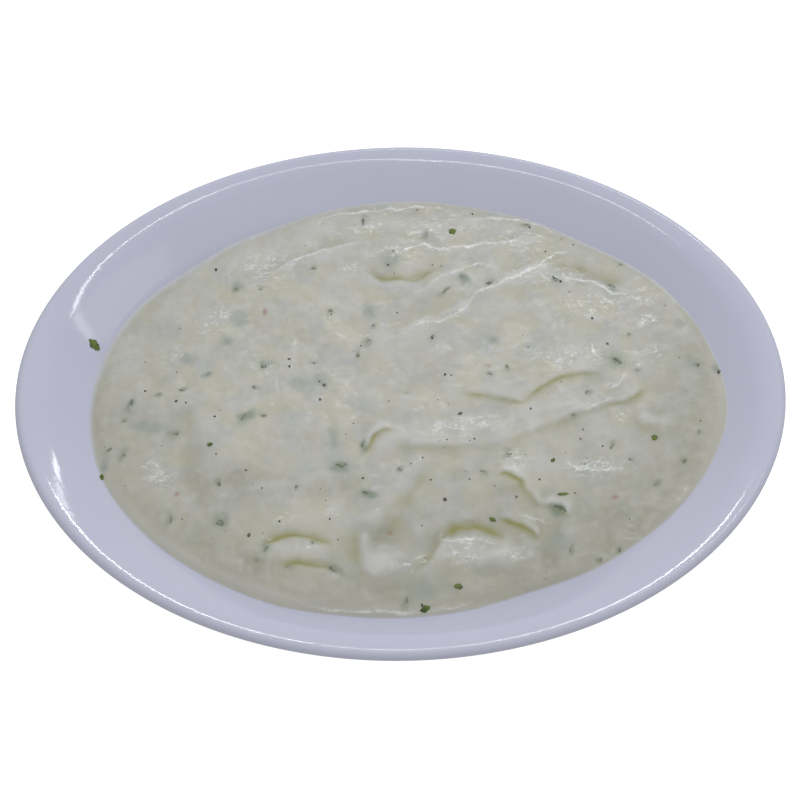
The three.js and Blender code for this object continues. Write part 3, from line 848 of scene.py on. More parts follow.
def stroke_group() -> bpy.types.NodeTree:
    """Makes the group that gives thin broken strokes, mostly along X.

    Returns:
        A group that takes a place, the size of the pattern and the width of a
        stroke, and gives a mask of the strokes and a slow wave round 0.
    """
    group = Effect("strokes", {"Size": 0.004, "Width": 0.03}, {"Mask": "Float", "Wave": "Float"})
    taken, given = group.taken, group.given

    def swing(stretch: Triple, finer: float, detail: float) -> Socket:
        """Adds a noise round 0 of the group's size."""
        place = group.add("VectorMath", {0: taken["Place"], 1: stretch}, operation="MULTIPLY")
        noise = group.noise(place.outputs[0], taken["Size"], detail, finer, STROKE_ROUGHNESS)
        return group.calculate("SUBTRACT", noise, 0.5)

    wave = swing((1.0, 1.0, 1.0), finer=2.0, detail=1.0)
    away = group.calculate("ABSOLUTE", swing(STROKE_STRETCH, finer=1.0, detail=3.0))
    ridge = group.calculate("DIVIDE", away, taken["Width"])
    line = group.calculate("SUBTRACT", 1.0, ridge, clamp=True)
    dashes = group.calculate("MULTIPLY_ADD", wave, DASH_CONTRAST, DASH_SHARE, clamp=True)
    group.feed(given["Mask"], group.calculate("MULTIPLY", line, dashes))
    group.feed(given["Wave"], wave)
    return group.tree


class Shader(Graph):
    """A material's node tree round a Principled BSDF.

    Attributes:
        material: The material.
    """

    def __init__(self, name: str, **inputs: Value) -> None:
        """Makes the material.

        Args:
            name: The material's name.
            **inputs: What the surface's inputs get, as in set.
        """
        self.material = bpy.data.materials.new(name)
        self.material.use_nodes = True
        super().__init__(self.material.node_tree)
        self.set(**inputs)

    def set(self, **inputs: Value) -> None:
        """Feeds inputs of the surface, with _ for each space in their names."""
        surface = self.tree.nodes["Principled BSDF"]
        for name, value in inputs.items():
            self.feed(surface.inputs[name.replace("_", " ")], value)

    def attribute(self, name: str) -> Socket:
        """Returns a socket with the value of a mesh attribute."""
        return self.add("Attribute", attribute_name=name).outputs["Fac"]

    def effect(self, group: bpy.types.NodeTree, **inputs: Value) -> bpy.types.NodeOutputs:
        """Places a shared group on the object's coordinates.

        Args:
            group: The node group.
            **inputs: What its inputs get, with _ for each space in their names.

        Returns:
            What it puts out, by name.
        """
        named = {name.replace("_", " "): value for name, value in inputs.items()}
        named["Place"] = self.add("TexCoord").outputs["Object"]
        return self.add("Group", named, node_tree=group).outputs

    def mix(self, share: Socket, first: Socket | Colour, second: Socket | Colour) -> Socket:
        """Mixes two colours.

        Args:
            share: How much of the second there is.
            first: The first colour, or a socket with it.
            second: The second colour, or a socket with it.

        Returns:
            The socket with the mixed colour.
        """
        node = self.add("Mix", {"Factor": share}, data_type="RGBA")
        for name, value in (("A", first), ("B", second)):
            self.feed(next(s for s in node.inputs if s.name == name and s.type == "RGBA"), value)
        return next(s for s in node.outputs if s.type == "RGBA")

    def fade(self, value: Socket, width: float) -> Socket:
        """Turns a value into a mask that falls from 1 at 0 to 0 at a width."""
        return self.calculate("MULTIPLY_ADD", value, -1 / width, 1.0, clamp=True)

    def span(self, value: Socket, low: float, high: float) -> Socket:
        """Maps a value from 0 to 1 onto the span from low to high."""
        return self.add("MapRange", {"Value": value, "To Min": low,
                                     "To Max": high}).outputs["Result"]


@dataclass(frozen=True)
class Finish:
    """A finish of two mottled colours with a fine bump.

    Attributes:
        name: The material's name.
        body: Its usual colour.
        patch: The colour of its patches.
        roughness: Its roughness.
        patch_size: Size of a patch in metres.
        contrast: How sharp the patches are.
        bump_size: Size of the bumps in metres.
        bump_height: Their height in metres.
    """

    name: str
    body: Colour
    patch: Colour
    roughness: float = 0.4
    patch_size: float = 0.0045
    contrast: float = 3.5
    bump_size: float = 0.0005
    bump_height: float = 0.00012

    def make(self, mottle: bpy.types.NodeTree) -> bpy.types.Material:
        """Builds the material with the shared mottling."""
        shader = Shader(self.name, Roughness=self.roughness)
        cloud = shader.effect(mottle, Size=self.patch_size, Contrast=self.contrast,
                              Bump_Size=self.bump_size, Bump_Height=self.bump_height)
        shader.set(Base_Color=shader.mix(cloud["Mask"], self.body, self.patch),
                   Normal=cloud["Normal"])
        return shader.material


# White glaze with a cool cast, and the bare fired clay under the foot.
GLAZE = Finish("dish_glaze", colour(181, 183, 202), colour(184, 186, 205), roughness=0.08,
               patch_size=0.03, contrast=1.6, bump_size=0.003, bump_height=0.00003)
BISCUIT = Finish("dish_foot", colour(196, 193, 188), colour(172, 168, 162), roughness=0.75,
                 patch_size=0.004, contrast=2.5, bump_size=0.0006, bump_height=0.00006)

# Chopped leaf that lies free, leaf half sunk in the mash, and ground pepper.
FRESH_HERB = Finish("herb_fresh", colour(42, 62, 10), colour(98, 118, 22))
DULL_HERB = Finish("herb_dull", colour(92, 102, 84), colour(132, 139, 120))
GROUND_PEPPER = Finish("pepper", colour(46, 42, 38), colour(96, 86, 74), roughness=0.6)


@dataclass(frozen=True)
class MashFinish:
    """Moist creamy potato with painted light and shade: paler on its crests, darker in
    its hollows, its margin and broad patches, olive and darker in its creases.

    Attributes:
        body: The usual colour.
        cream: The colour of paler patches.
        fleck: The colour of small darker patches.
        pale: The colour of small pale patches.
        cool: The colour of cooler clouds in it.
        warm: The colour of warmer clouds in it.
        shade: The colour of painted shade in broad soft patches.
        lit_crest: The colour of painted light on what stands up.
        shaded_hollow: The colour of painted shade on what lies low.
        crease: The yellow colour at the foot of a fold, darkened as painted shade.
        veil: The colour over a piece of herb just under the surface.
        haze: The colour over one that lies deeper.
        rust: The colour over a reddish bit.
        edge: The colour of painted shade on the thin margin, strongest at the front.
        brim: The colour of its outermost roll.
        rim: The colour of the film where it meets the dish.
        rim_width: Width in millimetres over which the film fades.
        glint: The colour of painted glints: thin wet highlights on the surface.
        strokes: Size in metres and width of the painted glint strokes, a pair for each kind.
        line_width: Half width of a painted highlight line in millimetres.
        line_sway: How far such a line trembles.
        line_swell: How much wider it is where the flecks are.
        line_least: How strong it is where there are none.
    """

    body: Colour = colour(174, 173, 166)
    cream: Colour = colour(181, 181, 175)
    fleck: Colour = colour(160, 160, 144)
    pale: Colour = colour(192, 193, 193)
    cool: Colour = colour(165, 169, 169)
    warm: Colour = colour(179, 177, 156)
    shade: Colour = colour(142, 142, 129)
    lit_crest: Colour = colour(187, 187, 184)
    shaded_hollow: Colour = colour(160, 157, 138)
    crease: Colour = colour(130, 129, 60)
    veil: Colour = colour(110, 122, 101)
    haze: Colour = colour(146, 154, 145)
    rust: Colour = colour(142, 108, 88)
    edge: Colour = colour(150, 148, 127)
    brim: Colour = colour(180, 178, 165)
    rim: Colour = colour(185, 187, 193)
    rim_width: float = 0.7
    glint: Colour = colour(222, 224, 224)
    strokes: tuple[Point, ...] = ((0.0056, 0.026), (0.0031, 0.034))
    line_width: float = 0.28
    line_sway: float = 1.5
    line_swell: float = 0.3
    line_least: float = 0.35

    def make(
        self, mottle: bpy.types.NodeTree, strokes: bpy.types.NodeTree
    ) -> bpy.types.Material:
        """Builds the material with the shared mottling and strokes."""
        shader = Shader("mash", IOR=1.4, Roughness=0.5, Subsurface_Weight=0.25,
                        Subsurface_Radius=(1.0, 0.9, 0.6), Subsurface_Scale=0.0009,
                        Coat_IOR=1.42, Coat_Roughness=0.08)
        cloud = shader.effect(mottle, Size=0.011, Contrast=2.0,
                              Bump_Size=0.0022, Bump_Height=0.0001)
        tone = shader.mix(cloud["Mask"], self.body, self.cream)
        flecks = shader.effect(mottle, Size=0.0042, Contrast=3.0)["Mask"]
        tone = shader.mix(shader.span(flecks, low=0.0, high=0.35), tone, self.fleck)
        for size, low, high, tint in ((0.0065, -0.25, 0.32, self.pale),
                                      (0.0083, -0.3, 0.6, self.cool),
                                      (0.0117, -0.3, 0.6, self.warm)):
            patches = shader.effect(mottle, Size=size, Contrast=4.0)["Mask"]
            tone = shader.mix(shader.span(patches, low, high), tone, tint)
        # Painted light on crests; painted shade in hollows, on the margin and in broad patches;
        # yellow with painted shade in creases.
        for name in ("shade", "lit_crest", "shaded_hollow", "edge", "brim", "haze", "crease", "rust",
                     "veil"):
            tone = shader.mix(shader.attribute(name), tone, getattr(self, name))
        film = shader.fade(shader.attribute("gap"), self.rim_width)
        tone = shader.mix(film, tone, self.rim)
        # Painted glints: white strokes, strongest in crumbly patches and at the back.
        for size, width in self.strokes:
            scribble = shader.effect(strokes, Size=size, Width=width)["Mask"]
            mask = shader.calculate("MULTIPLY", scribble, shader.attribute("glint"))
            tone = shader.mix(mask, tone, self.glint)
        # Painted highlight lines along the streaks.
        tone = shader.mix(self.line(shader, strokes, flecks), tone, self.glint)
        wet = shader.effect(mottle, Size=0.004, Contrast=3.0, Bump_Size=0.0011,
                            Bump_Height=0.00014, Bump_Share=shader.attribute("crumb"))
        coat = shader.calculate("MULTIPLY", shader.span(wet["Mask"], low=0.5, high=1.0),
                                shader.attribute("wet"))
        shader.set(Base_Color=tone, Normal=cloud["Normal"], Coat_Weight=coat,
                   Coat_Normal=wet["Normal"])
        return shader.material

    def line(self, shader: Shader, strokes: bpy.types.NodeTree, flecks: Socket) -> Socket:
        """Adds the mask of the painted highlight lines along the streaks.

        Args:
            shader: The material's nodes.
            strokes: The shared strokes, whose slow wave makes the lines tremble.
            flecks: The mask that makes the lines swell.

        Returns:
            The socket with the mask.
        """
        wave = shader.effect(strokes, Size=0.003)["Wave"]
        off = shader.calculate("MULTIPLY_ADD", wave, self.line_sway, shader.attribute("film_off"))
        away = shader.calculate("ABSOLUTE", off)
        swollen = shader.calculate("MULTIPLY_ADD", flecks, -self.line_swell, away)
        thin = shader.calculate("MULTIPLY", shader.fade(swollen, self.line_width),
                                shader.span(flecks, self.line_least, 1.0))
        return shader.calculate("MULTIPLY", thin, shader.attribute("film"))


# --------------------------------------------------------------------- meshes


# Points of a turned mesh this close together, in millimetres, become one.
MERGE_DISTANCE = 1e-4


def placed(name: str, data: bpy.types.ID) -> bpy.types.Object:
    """Adds an object with some data to the scene, at the origin."""
    item = bpy.data.objects.new(name, data)
    bpy.context.scene.collection.objects.link(item)
    return item


def meshed(name: str, bm: bmesh.types.BMesh) -> bpy.types.Object:
    """Adds an object with the mesh of a bmesh, which is freed."""
    mesh = bpy.data.meshes.new(name)
    bm.to_mesh(mesh)
    bm.free()
    return placed(name, mesh)


def finish_piece(
    bm: bmesh.types.BMesh,
    name: str,
    materials: Sequence[bpy.types.Material],
    replaced: str,
) -> bpy.types.Object:
    """Turns a bmesh in millimetres into a piece that rides on the body.

    Args:
        bm: The piece's mesh, which is freed.
        name: The piece's name.
        materials: Its materials, by the index that its faces use.
        replaced: The solid that it stands for.

    Returns:
        The finished object, at the origin.
    """
    bmesh.ops.scale(bm, vec=Vector((METRES, METRES, METRES)), verts=bm.verts)
    for face in bm.faces:
        face.smooth = True
    piece = meshed(name, bm)
    for material in materials:
        piece.data.materials.append(material)
    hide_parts(replaced)
    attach(piece, BODY)
    LOG.info("%s: %d faces", name, len(piece.data.polygons))
    return piece


def turned(outline: Sequence[Vector], sides: int, squeeze: float) -> bmesh.types.BMesh:
    """Spins an outline about the upright axis and narrows it to an oval.

    Args:
        outline: Points with x as the distance from the axis and z as height,
            from the axis back to the axis.
        sides: Steps of the turn.
        squeeze: Width of the oval over its length.

    Returns:
        The closed mesh.
    """
    bm = bmesh.new()
    verts = [bm.verts.new(point) for point in outline]
    edges = [bm.edges.new(pair) for pair in zip(verts, verts[1:])]
    bmesh.ops.spin(bm, geom=verts + edges, cent=(0, 0, 0), axis=(0, 0, 1), dvec=(0, 0, 0),
                   angle=2 * math.pi, steps=sides, use_merge=True, use_duplicate=False)
    bmesh.ops.remove_doubles(bm, verts=bm.verts, dist=MERGE_DISTANCE)
    bmesh.ops.scale(bm, vec=Vector((1, squeeze, 1)), verts=bm.verts)
    bmesh.ops.recalc_face_normals(bm, faces=bm.faces)
    return bm


@dataclass(frozen=True)
class Corner:
    """A corner of an outline.

    Attributes:
        radius: Distance from the axis.
        height: Height above the table.
        rounding: Radius of the arc that rounds it, or 0.
    """

    radius: float
    height: float
    rounding: float = 0.0

    @property
    def point(self) -> Vector:
        """The corner as a point over the X axis."""
        return Vector((self.radius, 0, self.height))


def rounded(corners: Sequence[Corner], step: float) -> list[Vector]:
    """Rounds the corners of an outline.

    Args:
        corners: The corners in order. The first and last aren't rounded.
        step: Longest turn between two points of an arc, in radians.

    Returns:
        The points of the outline.
    """
    points: list[Vector] = []
    for i, corner in enumerate(corners):
        here = corner.point
        if not corner.rounding:
            points.append(here)
            continue
        before, after = corners[i - 1].point - here, corners[i + 1].point - here
        half = before.angle(after) / 2
        middle = (before.normalized() + after.normalized()).normalized() \
            * (corner.rounding / math.sin(half))
        reach = corner.rounding / math.tan(half)
        first, last = before.normalized() * reach - middle, after.normalized() * reach - middle
        swing = first.angle(last)
        steps = max(2, math.ceil(swing / step))
        way = first.rotation_difference(last).axis
        for k in range(steps + 1):
            points.append(here + middle + Matrix.Rotation(swing * k / steps, 3, way) @ first)
    return points


@dataclass
class OvalDish:
    """The oval dish: a flat floor, a flared wall, a small rolled lip, a foot.

    Radii are along the length, before the dish is narrowed to an oval.

    Attributes:
        half_length: Half of its length.
        half_width: Half of its width.
        height: Its height.
        wall: Thickness of the wall.
        wall_slope: Slope of the wall's upper part.
        lower_slope: Slope of its lower part.
        lip_width: Width of the lip, from its outer edge.
        lip_slope: Slope of the lip's top.
        lip_inner_round: Radius where the wall turns into the lip.
        lip_round: Radius of the lip's edge.
        lip_side: How far down the lip's outer side reaches.
        lip_under_round: Radius of that side's lower edge.
        lip_undercut: How far the lip stands out over the wall.
        knee_radius: Where the two slopes of the wall meet.
        knee_round: Radius there.
        floor_height: Height of the floor.
        floor_round: Radius between the floor and the wall.
        recess_height: Height of the underside inside the foot.
        foot_inner: Inner radius of the foot's underside.
        foot_outer: Outer radius of it.
        foot_draft: How far each side of the foot leans.
        foot_round: Radius of the foot's edges.
        foot_step: How far the wall starts above the recess.
        foot_top_round: Radius where the foot meets the wall.
        bare_margin: How far inside the foot faces still count as part of it.
        sides: Steps round the dish.
        arc_step: Longest turn between two points of an arc.
        cavity_step: The same in the solid that fills the dish.
    """

    half_length: float = 130.0
    half_width: float = 95.0
    height: float = 34.0
    wall: float = 4.6
    wall_slope: float = math.radians(31)
    lower_slope: float = math.radians(45)
    lip_width: float = 8.38
    lip_slope: float = math.radians(10)
    lip_inner_round: float = 20.0
    lip_round: float = 2.7
    lip_side: float = 6.2
    lip_under_round: float = 1.4
    lip_undercut: float = 4.6
    knee_radius: float = 105.0
    knee_round: float = 14.0
    floor_height: float = 6.0
    floor_round: float = 16.0
    recess_height: float = 2.2
    foot_inner: float = 79.5
    foot_outer: float = 85.5
    foot_draft: float = 0.6
    foot_round: float = 0.8
    foot_step: float = 0.7
    foot_top_round: float = 0.4
    bare_margin: float = 1.0
    sides: int = 256
    arc_step: float = math.radians(9)
    cavity_step: float = math.radians(8)

    @property
    def squeeze(self) -> float:
        """Width over length."""
        return self.half_width / self.half_length

    @property
    def lip_corner_height(self) -> float:
        """Height of the lip's outer corner before it is rounded."""
        bevel = (1 + math.sin(self.lip_slope)) / math.cos(self.lip_slope)
        return self.height + self.lip_round * (bevel - 1)

    def inside(self) -> list[Corner]:
        """Returns the corners of the inside, from the floor to the lip."""
        lip_radius = self.half_length - self.lip_width
        lip_height = self.lip_corner_height - self.lip_width * math.tan(self.lip_slope)
        knee_height = lip_height - (lip_radius - self.knee_radius) * math.tan(self.wall_slope)
        floor_radius = self.knee_radius \
            - (knee_height - self.floor_height) / math.tan(self.lower_slope)
        return [
            Corner(0, self.floor_height),
            Corner(floor_radius, self.floor_height, self.floor_round),
            Corner(self.knee_radius, knee_height, self.knee_round),
            Corner(lip_radius, lip_height, self.lip_inner_round),
        ]

    def outside(self) -> list[Corner]:
        """Returns the corners of the outside, from the lip's crest to the foot."""
        _, _, knee, lip = self.inside()
        half = (self.lower_slope - self.wall_slope) / 2
        middle = (self.lower_slope + self.wall_slope) / 2
        away = self.wall / math.cos(half)
        outer_knee = Corner(knee.radius + away * math.sin(middle),
                            knee.height - away * math.cos(middle), self.knee_round)
        foot_top = self.recess_height + self.foot_step
        foot_radius = outer_knee.radius \
            - (outer_knee.height - foot_top) / math.tan(self.lower_slope)
        under = self.half_length - self.lip_undercut
        run = under - lip.radius - self.wall * math.sin(self.wall_slope)
        under_height = lip.height - self.wall * math.cos(self.wall_slope) \
            + run * math.tan(self.wall_slope)
        return [
            Corner(self.half_length, self.lip_corner_height, self.lip_round),
            Corner(self.half_length, self.height - self.lip_side, self.lip_under_round),
            Corner(under, under_height, self.foot_round),
            outer_knee,
            Corner(foot_radius, foot_top, self.foot_round),
            Corner(self.foot_outer + self.foot_draft, foot_top, self.foot_top_round),
            Corner(self.foot_outer, 0, self.foot_round),
            Corner(self.foot_inner, 0, self.foot_round),
            Corner(self.foot_inner - self.foot_draft, self.recess_height, self.foot_round),
            Corner(0, self.recess_height),
        ]

    def wall_height(self, x: Array, y: Array) -> Array:
        """Returns the height of the flared wall over each place."""
        _, _, knee, _ = self.inside()
        return knee.height + (np.hypot(x, y / self.squeeze) - knee.radius) \
            * math.tan(self.wall_slope)

    def cavity(self, into_wall: float) -> bmesh.types.BMesh:
        """Makes the solid that fills the dish.

        Args:
            into_wall: How far it reaches into the wall.

        Returns:
            The closed mesh, up to well above the lip.
        """
        corners = [Corner(c.radius, c.height - into_wall, c.rounding) for c in self.inside()]
        lip = corners[-1]
        top = 2 * self.height
        corners[-1] = Corner(lip.radius, lip.height)
        outline = rounded(corners + [Corner(lip.radius, top), Corner(0, top)], self.cavity_step)
        return turned(outline, self.sides, self.squeeze)

    def build(self, glaze: bpy.types.Material, biscuit: bpy.types.Material) -> bpy.types.Object:
        """Builds the dish, bare of glaze where its foot stands.

        Args:
            glaze: Material of all but the foot's underside.
            biscuit: Material of the foot's underside.

        Returns:
            The dish.
        """
        bm = turned(rounded(self.inside() + self.outside(), self.arc_step),
                    self.sides, self.squeeze)
        for face in bm.faces:
            centre = face.calc_center_median()
            radius = math.hypot(centre.x, centre.y / self.squeeze)
            if centre.z < self.foot_round / 2 and radius > self.foot_inner - self.bare_margin:
                face.material_index = 1
        return finish_piece(bm, "dish_body", (glaze, biscuit), "dish")


@dataclass(frozen=True)
class Masks:
    """The masks that the mash's material reads.

    Attributes:
        relief: The mash's surface.
        dish: The dish that holds it.
        spot_shade: Strength of the soft patches of painted shade.
        darkest: The most that the painted shade takes over.
        low_rings: Radius of each ring that a place is measured against, and the
            depth below it that counts as 1.
        level: How low or high a place may lie and still count as level.
        lit_crest: Strength of the painted light on what stands up.
        spot_light: Strength of the soft patches of painted light.
        shaded_hollow: Strength of the painted shade on what lies low.
        crease: Strength of the creases' yellow and painted shade.
        rust: Strength of the reddish bits.
        crumb: Strength of the fine bumps, and how much more a crumbly patch has.
        wet: The same for the wet film.
        ragged: What shifts the outlines of sunk leaf, along and across.
        core: Length and width of the colour over half-sunk leaf, over the leaf's.
        core_share: Strength of that colour.
        sunk_share: How much of all sunk leaf shows on the whole.
        sunk_patches: How that varies.
        edge: Strength of the painted shade on the thin margin, how much less there is
        at the back, and the least of it.
        edge_width: How far in that reaches.
        edge_start: How far in it is at its full strength, as the painted glints are.
        brim: Strength of the outermost roll.
        brim_width: Its width.
        gap_range: The least and the most height over the wall that is told apart.
        gap_narrowing: How much narrower the film on the wall is at the back.
        gap_lean: How far back that starts for each millimetre to the right.
        gap_span: Where it starts, and where all of it is reached.
        glint_back: Strength of the painted glint strokes at the back.
        glint_span: Where those start, and where all of them are reached.
        glint_crumb: How much stronger they are in a crumbly patch.
        glint_film: How much stronger they are along a streak.
        glint_width: Half width of that.
    """

    relief: Relief
    dish: OvalDish
    spot_shade: float = 0.35
    darkest: float = 0.9
    low_rings: tuple[Point, ...] = ((2.4, 0.7), (6.0, 1.4))
    level: float = 0.1
    lit_crest: float = 0.8
    spot_light: float = 0.5
    shaded_hollow: float = 0.7
    crease: float = 0.85
    rust: float = 0.7
    crumb: Point = (0.4, 0.6)
    wet: Point = (0.3, 0.5)
    ragged: tuple[Pattern, Pattern] = (Pattern(1.7, 0.7, 51), Pattern(1.7, 0.7, 52))
    core: Point = (0.75, 0.8)
    core_share: float = 0.6
    sunk_share: float = 0.8
    sunk_patches: Pattern = Pattern(2.3, 0.3, 53)
    edge: Triple = (0.45, 0.35, 0.15)
    edge_width: float = 6.0
    edge_start: float = 3.0
    brim: float = 0.5
    brim_width: float = 1.5
    gap_range: Point = (-2, 4)
    gap_narrowing: float = 1.2
    gap_lean: float = 0.3
    gap_span: Point = (-10, 30)
    glint_back: float = 0.09
    glint_span: Point = (-40, 20)
    glint_crumb: float = 0.65
    glint_film: float = 0.45
    glint_width: float = 1.6

    def sunk(self, x: Array, y: Array) -> tuple[Array, Array]:
        """Returns how strongly herb shows through: just under, and deeper down."""
        along, across = self.ragged
        ragged = x + along.height(x, y), y + across.height(x, y)
        length, width = self.core
        near = [Spot(leaf.x, leaf.y, length * leaf.length, width * leaf.width, leaf.turn)
                for leaf in DULL_LEAVES]
        patchy = self.sunk_share + self.sunk_patches.height(x, y)
        return self.core_share * shares(near, *ragged) * patchy, shares(VEILS, *ragged) * patchy

    def at(self, x: Array, y: Array, z: Array) -> dict[str, Array]:
        """Works out the masks.

        Args:
            x: Places along the dish.
            y: Places across the dish.
            z: Height of the surface there.

        Returns:
            Each mask's values by its name.
        """
        inside, _, sine = self.relief.inward(x, y)
        depth = np.maximum(inside, 0)
        start = ramp(inside, 0, self.edge_start)
        veil, haze = self.sunk(x, y)
        crumb = shares(CRUMBS, x, y)
        film_off, film = nearest_streak(*bent(x, y))
        low = sum(self.relief.lowness(x, y, radius) / deep for radius, deep in self.low_rings)
        # Painted shade in broad heaps; its soft spots are added in the shade mask.
        thin = sum(heap.height(x, y) for heap in SHADE_HEAPS)
        margin, less, least = self.edge
        narrow = ramp(y - self.gap_lean * x, *self.gap_span)
        along_film = film * np.exp(-(film_off / self.glint_width) ** 2)
        glint = self.glint_back * ramp(y, *self.glint_span) + self.glint_crumb * crumb \
            + self.glint_film * along_film
        return {
            "shade": np.clip(thin + self.spot_shade * shares(SHADE_SPOTS, x, y), 0, self.darkest),
            # Painted light on what stands up, and in soft spots.
            "lit_crest": np.clip(self.lit_crest * np.clip(self.level - low, 0, 1)
                             + self.spot_light * shares(LIGHT_SPOTS, x, y), 0, 1),
            # Painted shade on what lies low.
            "shaded_hollow": self.shaded_hollow * np.clip(low - self.level, 0, 1),
            # Yellow tint with painted shade in the creases.
            "crease": self.crease * self.relief.crease(x, y),
            "rust": self.rust * shares(RUSTS, x, y),
            "crumb": self.crumb[0] + self.crumb[1] * crumb,
            "wet": self.wet[0] + self.wet[1] * crumb,
            "veil": veil,
            "haze": haze,
            # Painted shade on the margin, strongest at the front.
            "edge": np.clip(margin - less * sine, least, 1)
            * np.exp(-depth / self.edge_width) * start,
            "brim": self.brim * np.exp(-depth / self.brim_width),
            "gap": np.clip(z - self.dish.wall_height(x, y), *self.gap_range)
            / (1 + self.gap_narrowing * narrow),
            # Painted glints; the film masks below carry the painted highlight lines.
            "glint": np.clip(glint, 0, 1) * start,
            "film_off": film_off,
            "film": film,
        }


@dataclass
class Mash:
    """The mash as one solid: a block under the relief, cut to the dish.

    Attributes:
        relief: Its upper surface.
        dish: The dish that holds it.
        cell: Side of a cell of its surface.
        margin: How far the block starts outside the edge.
        base: Height of the block's underside.
        into_wall: How far the mash reaches into the wall.
        sharp_angle: Edges that turn by more than this are shaded as sharp.
    """

    relief: Relief
    dish: OvalDish
    cell: float = 0.58
    margin: float = 8.0
    base: float = 3.0
    into_wall: float = 0.12
    sharp_angle: float = math.radians(55)

    def block(self) -> bmesh.types.BMesh:
        """Builds the closed block with the relief on top."""
        half_x = self.relief.half_length + self.margin
        half_y = self.relief.half_width + self.margin
        bm = bmesh.new()
        bmesh.ops.create_grid(bm, x_segments=round(2 * half_x / self.cell),
                              y_segments=round(2 * half_y / self.cell), size=1.0)
        bmesh.ops.scale(bm, vec=Vector((half_x, half_y, 1)), verts=bm.verts)
        rim = [edge for edge in bm.edges if edge.is_boundary]
        places = np.array([vert.co[:2] for vert in bm.verts])
        heights = self.relief.height(places[:, 0], places[:, 1])
        for vert, height in zip(bm.verts, heights):
            vert.co.z = height
        skirt = bmesh.ops.extrude_edge_only(bm, edges=rim)["geom"]
        for item in skirt:
            if isinstance(item, bmesh.types.BMVert):
                item.co.z = self.base
        floor = [item for item in skirt if isinstance(item, bmesh.types.BMEdge)]
        bmesh.ops.contextual_create(bm, geom=[e for e in floor if e.is_boundary])
        bmesh.ops.recalc_face_normals(bm, faces=bm.faces)
        return bm

    def cut(self) -> bmesh.types.BMesh:
        """Cuts the block to the inside of the dish."""
        block = meshed("block", self.block())
        cavity = meshed("cavity", self.dish.cavity(self.into_wall))
        cutter = block.modifiers.new("cut", "BOOLEAN")
        cutter.operation = "INTERSECT"
        cutter.solver = "MANIFOLD"
        cutter.object = cavity
        shown = block.evaluated_get(bpy.context.evaluated_depsgraph_get())
        result = bmesh.new()
        result.from_mesh(shown.to_mesh())
        shown.to_mesh_clear()
        for item in (block, cavity):
            mesh = item.data
            bpy.data.objects.remove(item)
            bpy.data.meshes.remove(mesh)
        return result

    def build(self, material: bpy.types.Material) -> bpy.types.Object:
        """Builds the mash with the masks that its material reads."""
        piece = finish_piece(self.cut(), "mash_body", (material,), "mash")
        mesh = piece.data
        places = np.empty(3 * len(mesh.vertices))
        mesh.vertices.foreach_get("co", places)
        x, y, z = places.reshape(-1, 3).T / METRES
        for name, values in Masks(self.relief, self.dish).at(x, y, z).items():
            layer = mesh.attributes.new(name, "FLOAT", "POINT")
            layer.data.foreach_set("value", values.astype(np.float32))
        mesh.set_sharp_from_angle(angle=self.sharp_angle)
        return piece


# ----------------------------------------------------------- herbs and pepper


@dataclass
class Herbs:
    """Chopped leaf that lies on a surface or is half sunk in it.

    Attributes:
        surface: The height of what it lies on.
        proud: How far the middle of a leaf stands above the surface.
        dip: How far the leaf tilts and waves, up and down.
        ripple: How much of that its points have on their own.
        droop: How far its edges hang down.
        thickness: Thickness of a leaf.
        cells: Cells along and across a leaf.
        taper: How much its sides and its ends draw in.
        rag: How ragged it is, along and across.
        skew: How far it leans along itself.
        seed: Seed of its ragged outline.
    """

    surface: Surface
    proud: float = 0.3
    dip: float = 0.12
    ripple: float = 0.5
    droop: float = 0.08
    thickness: float = 0.22
    cells: tuple[int, int] = (6, 4)
    taper: Point = (0.2, 0.4)
    rag: Point = (0.15, 0.2)
    skew: float = 0.3
    seed: int = 5

    def leaf(self, bm: bmesh.types.BMesh, spot: Spot, draw: np.random.Generator) -> None:
        """Adds one ragged leaf that follows the surface.

        Args:
            bm: The mesh that it is added to.
            spot: Its place, with its whole length and width.
            draw: Source of the raggedness.
        """
        made = bmesh.ops.create_grid(bm, x_segments=self.cells[0], y_segments=self.cells[1],
                                     size=0.5)["verts"]
        tilt_x, tilt_y, lean = draw.uniform(-1, 1, 3)
        for vert in made:
            end, side = 2 * vert.co.x, 2 * vert.co.y
            rag_x, rag_y, wave = draw.uniform(-1, 1, 3)
            vert.co.x *= spot.length * (1 - self.taper[0] * side * side + self.rag[0] * rag_x)
            vert.co.x += self.skew * lean * side * spot.width / 2
            vert.co.y *= spot.width * (1 - self.taper[1] * end * end + self.rag[1] * rag_y)
            vert.co.z = self.proud \
                + self.dip * (tilt_x * end + tilt_y * side + self.ripple * wave) \
                - self.droop * (end * end + side * side)
        bmesh.ops.rotate(bm, verts=made, cent=(0, 0, 0),
                         matrix=Matrix.Rotation(math.radians(spot.turn), 3, "Z"))
        faces = list({face for vert in made for face in vert.link_faces})
        under = bmesh.ops.extrude_face_region(bm, geom=faces)["geom"]
        lower = [item for item in under if isinstance(item, bmesh.types.BMVert)]
        bmesh.ops.translate(bm, vec=(0, 0, -self.thickness), verts=lower)
        verts = made + lower
        places = np.array([vert.co[:2] for vert in verts]) + (spot.x, spot.y)
        heights = self.surface(places[:, 0], places[:, 1])
        for vert, place, height in zip(verts, places, heights):
            vert.co = Vector((place[0], place[1], height + vert.co.z))

    def build(
        self, name: str, spots: Sequence[Spot], material: bpy.types.Material, replaced: str
    ) -> bpy.types.Object:
        """Builds one piece of many leaves.

        Args:
            name: The piece's name.
            spots: Where the leaves lie.
            material: Their material.
            replaced: The solid that they are fused to.

        Returns:
            The piece.
        """
        bm = bmesh.new()
        draw = np.random.default_rng(self.seed)
        for spot in spots:
            self.leaf(bm, spot, draw)
        bmesh.ops.recalc_face_normals(bm, faces=bm.faces)
        return finish_piece(bm, name, (material,), replaced)


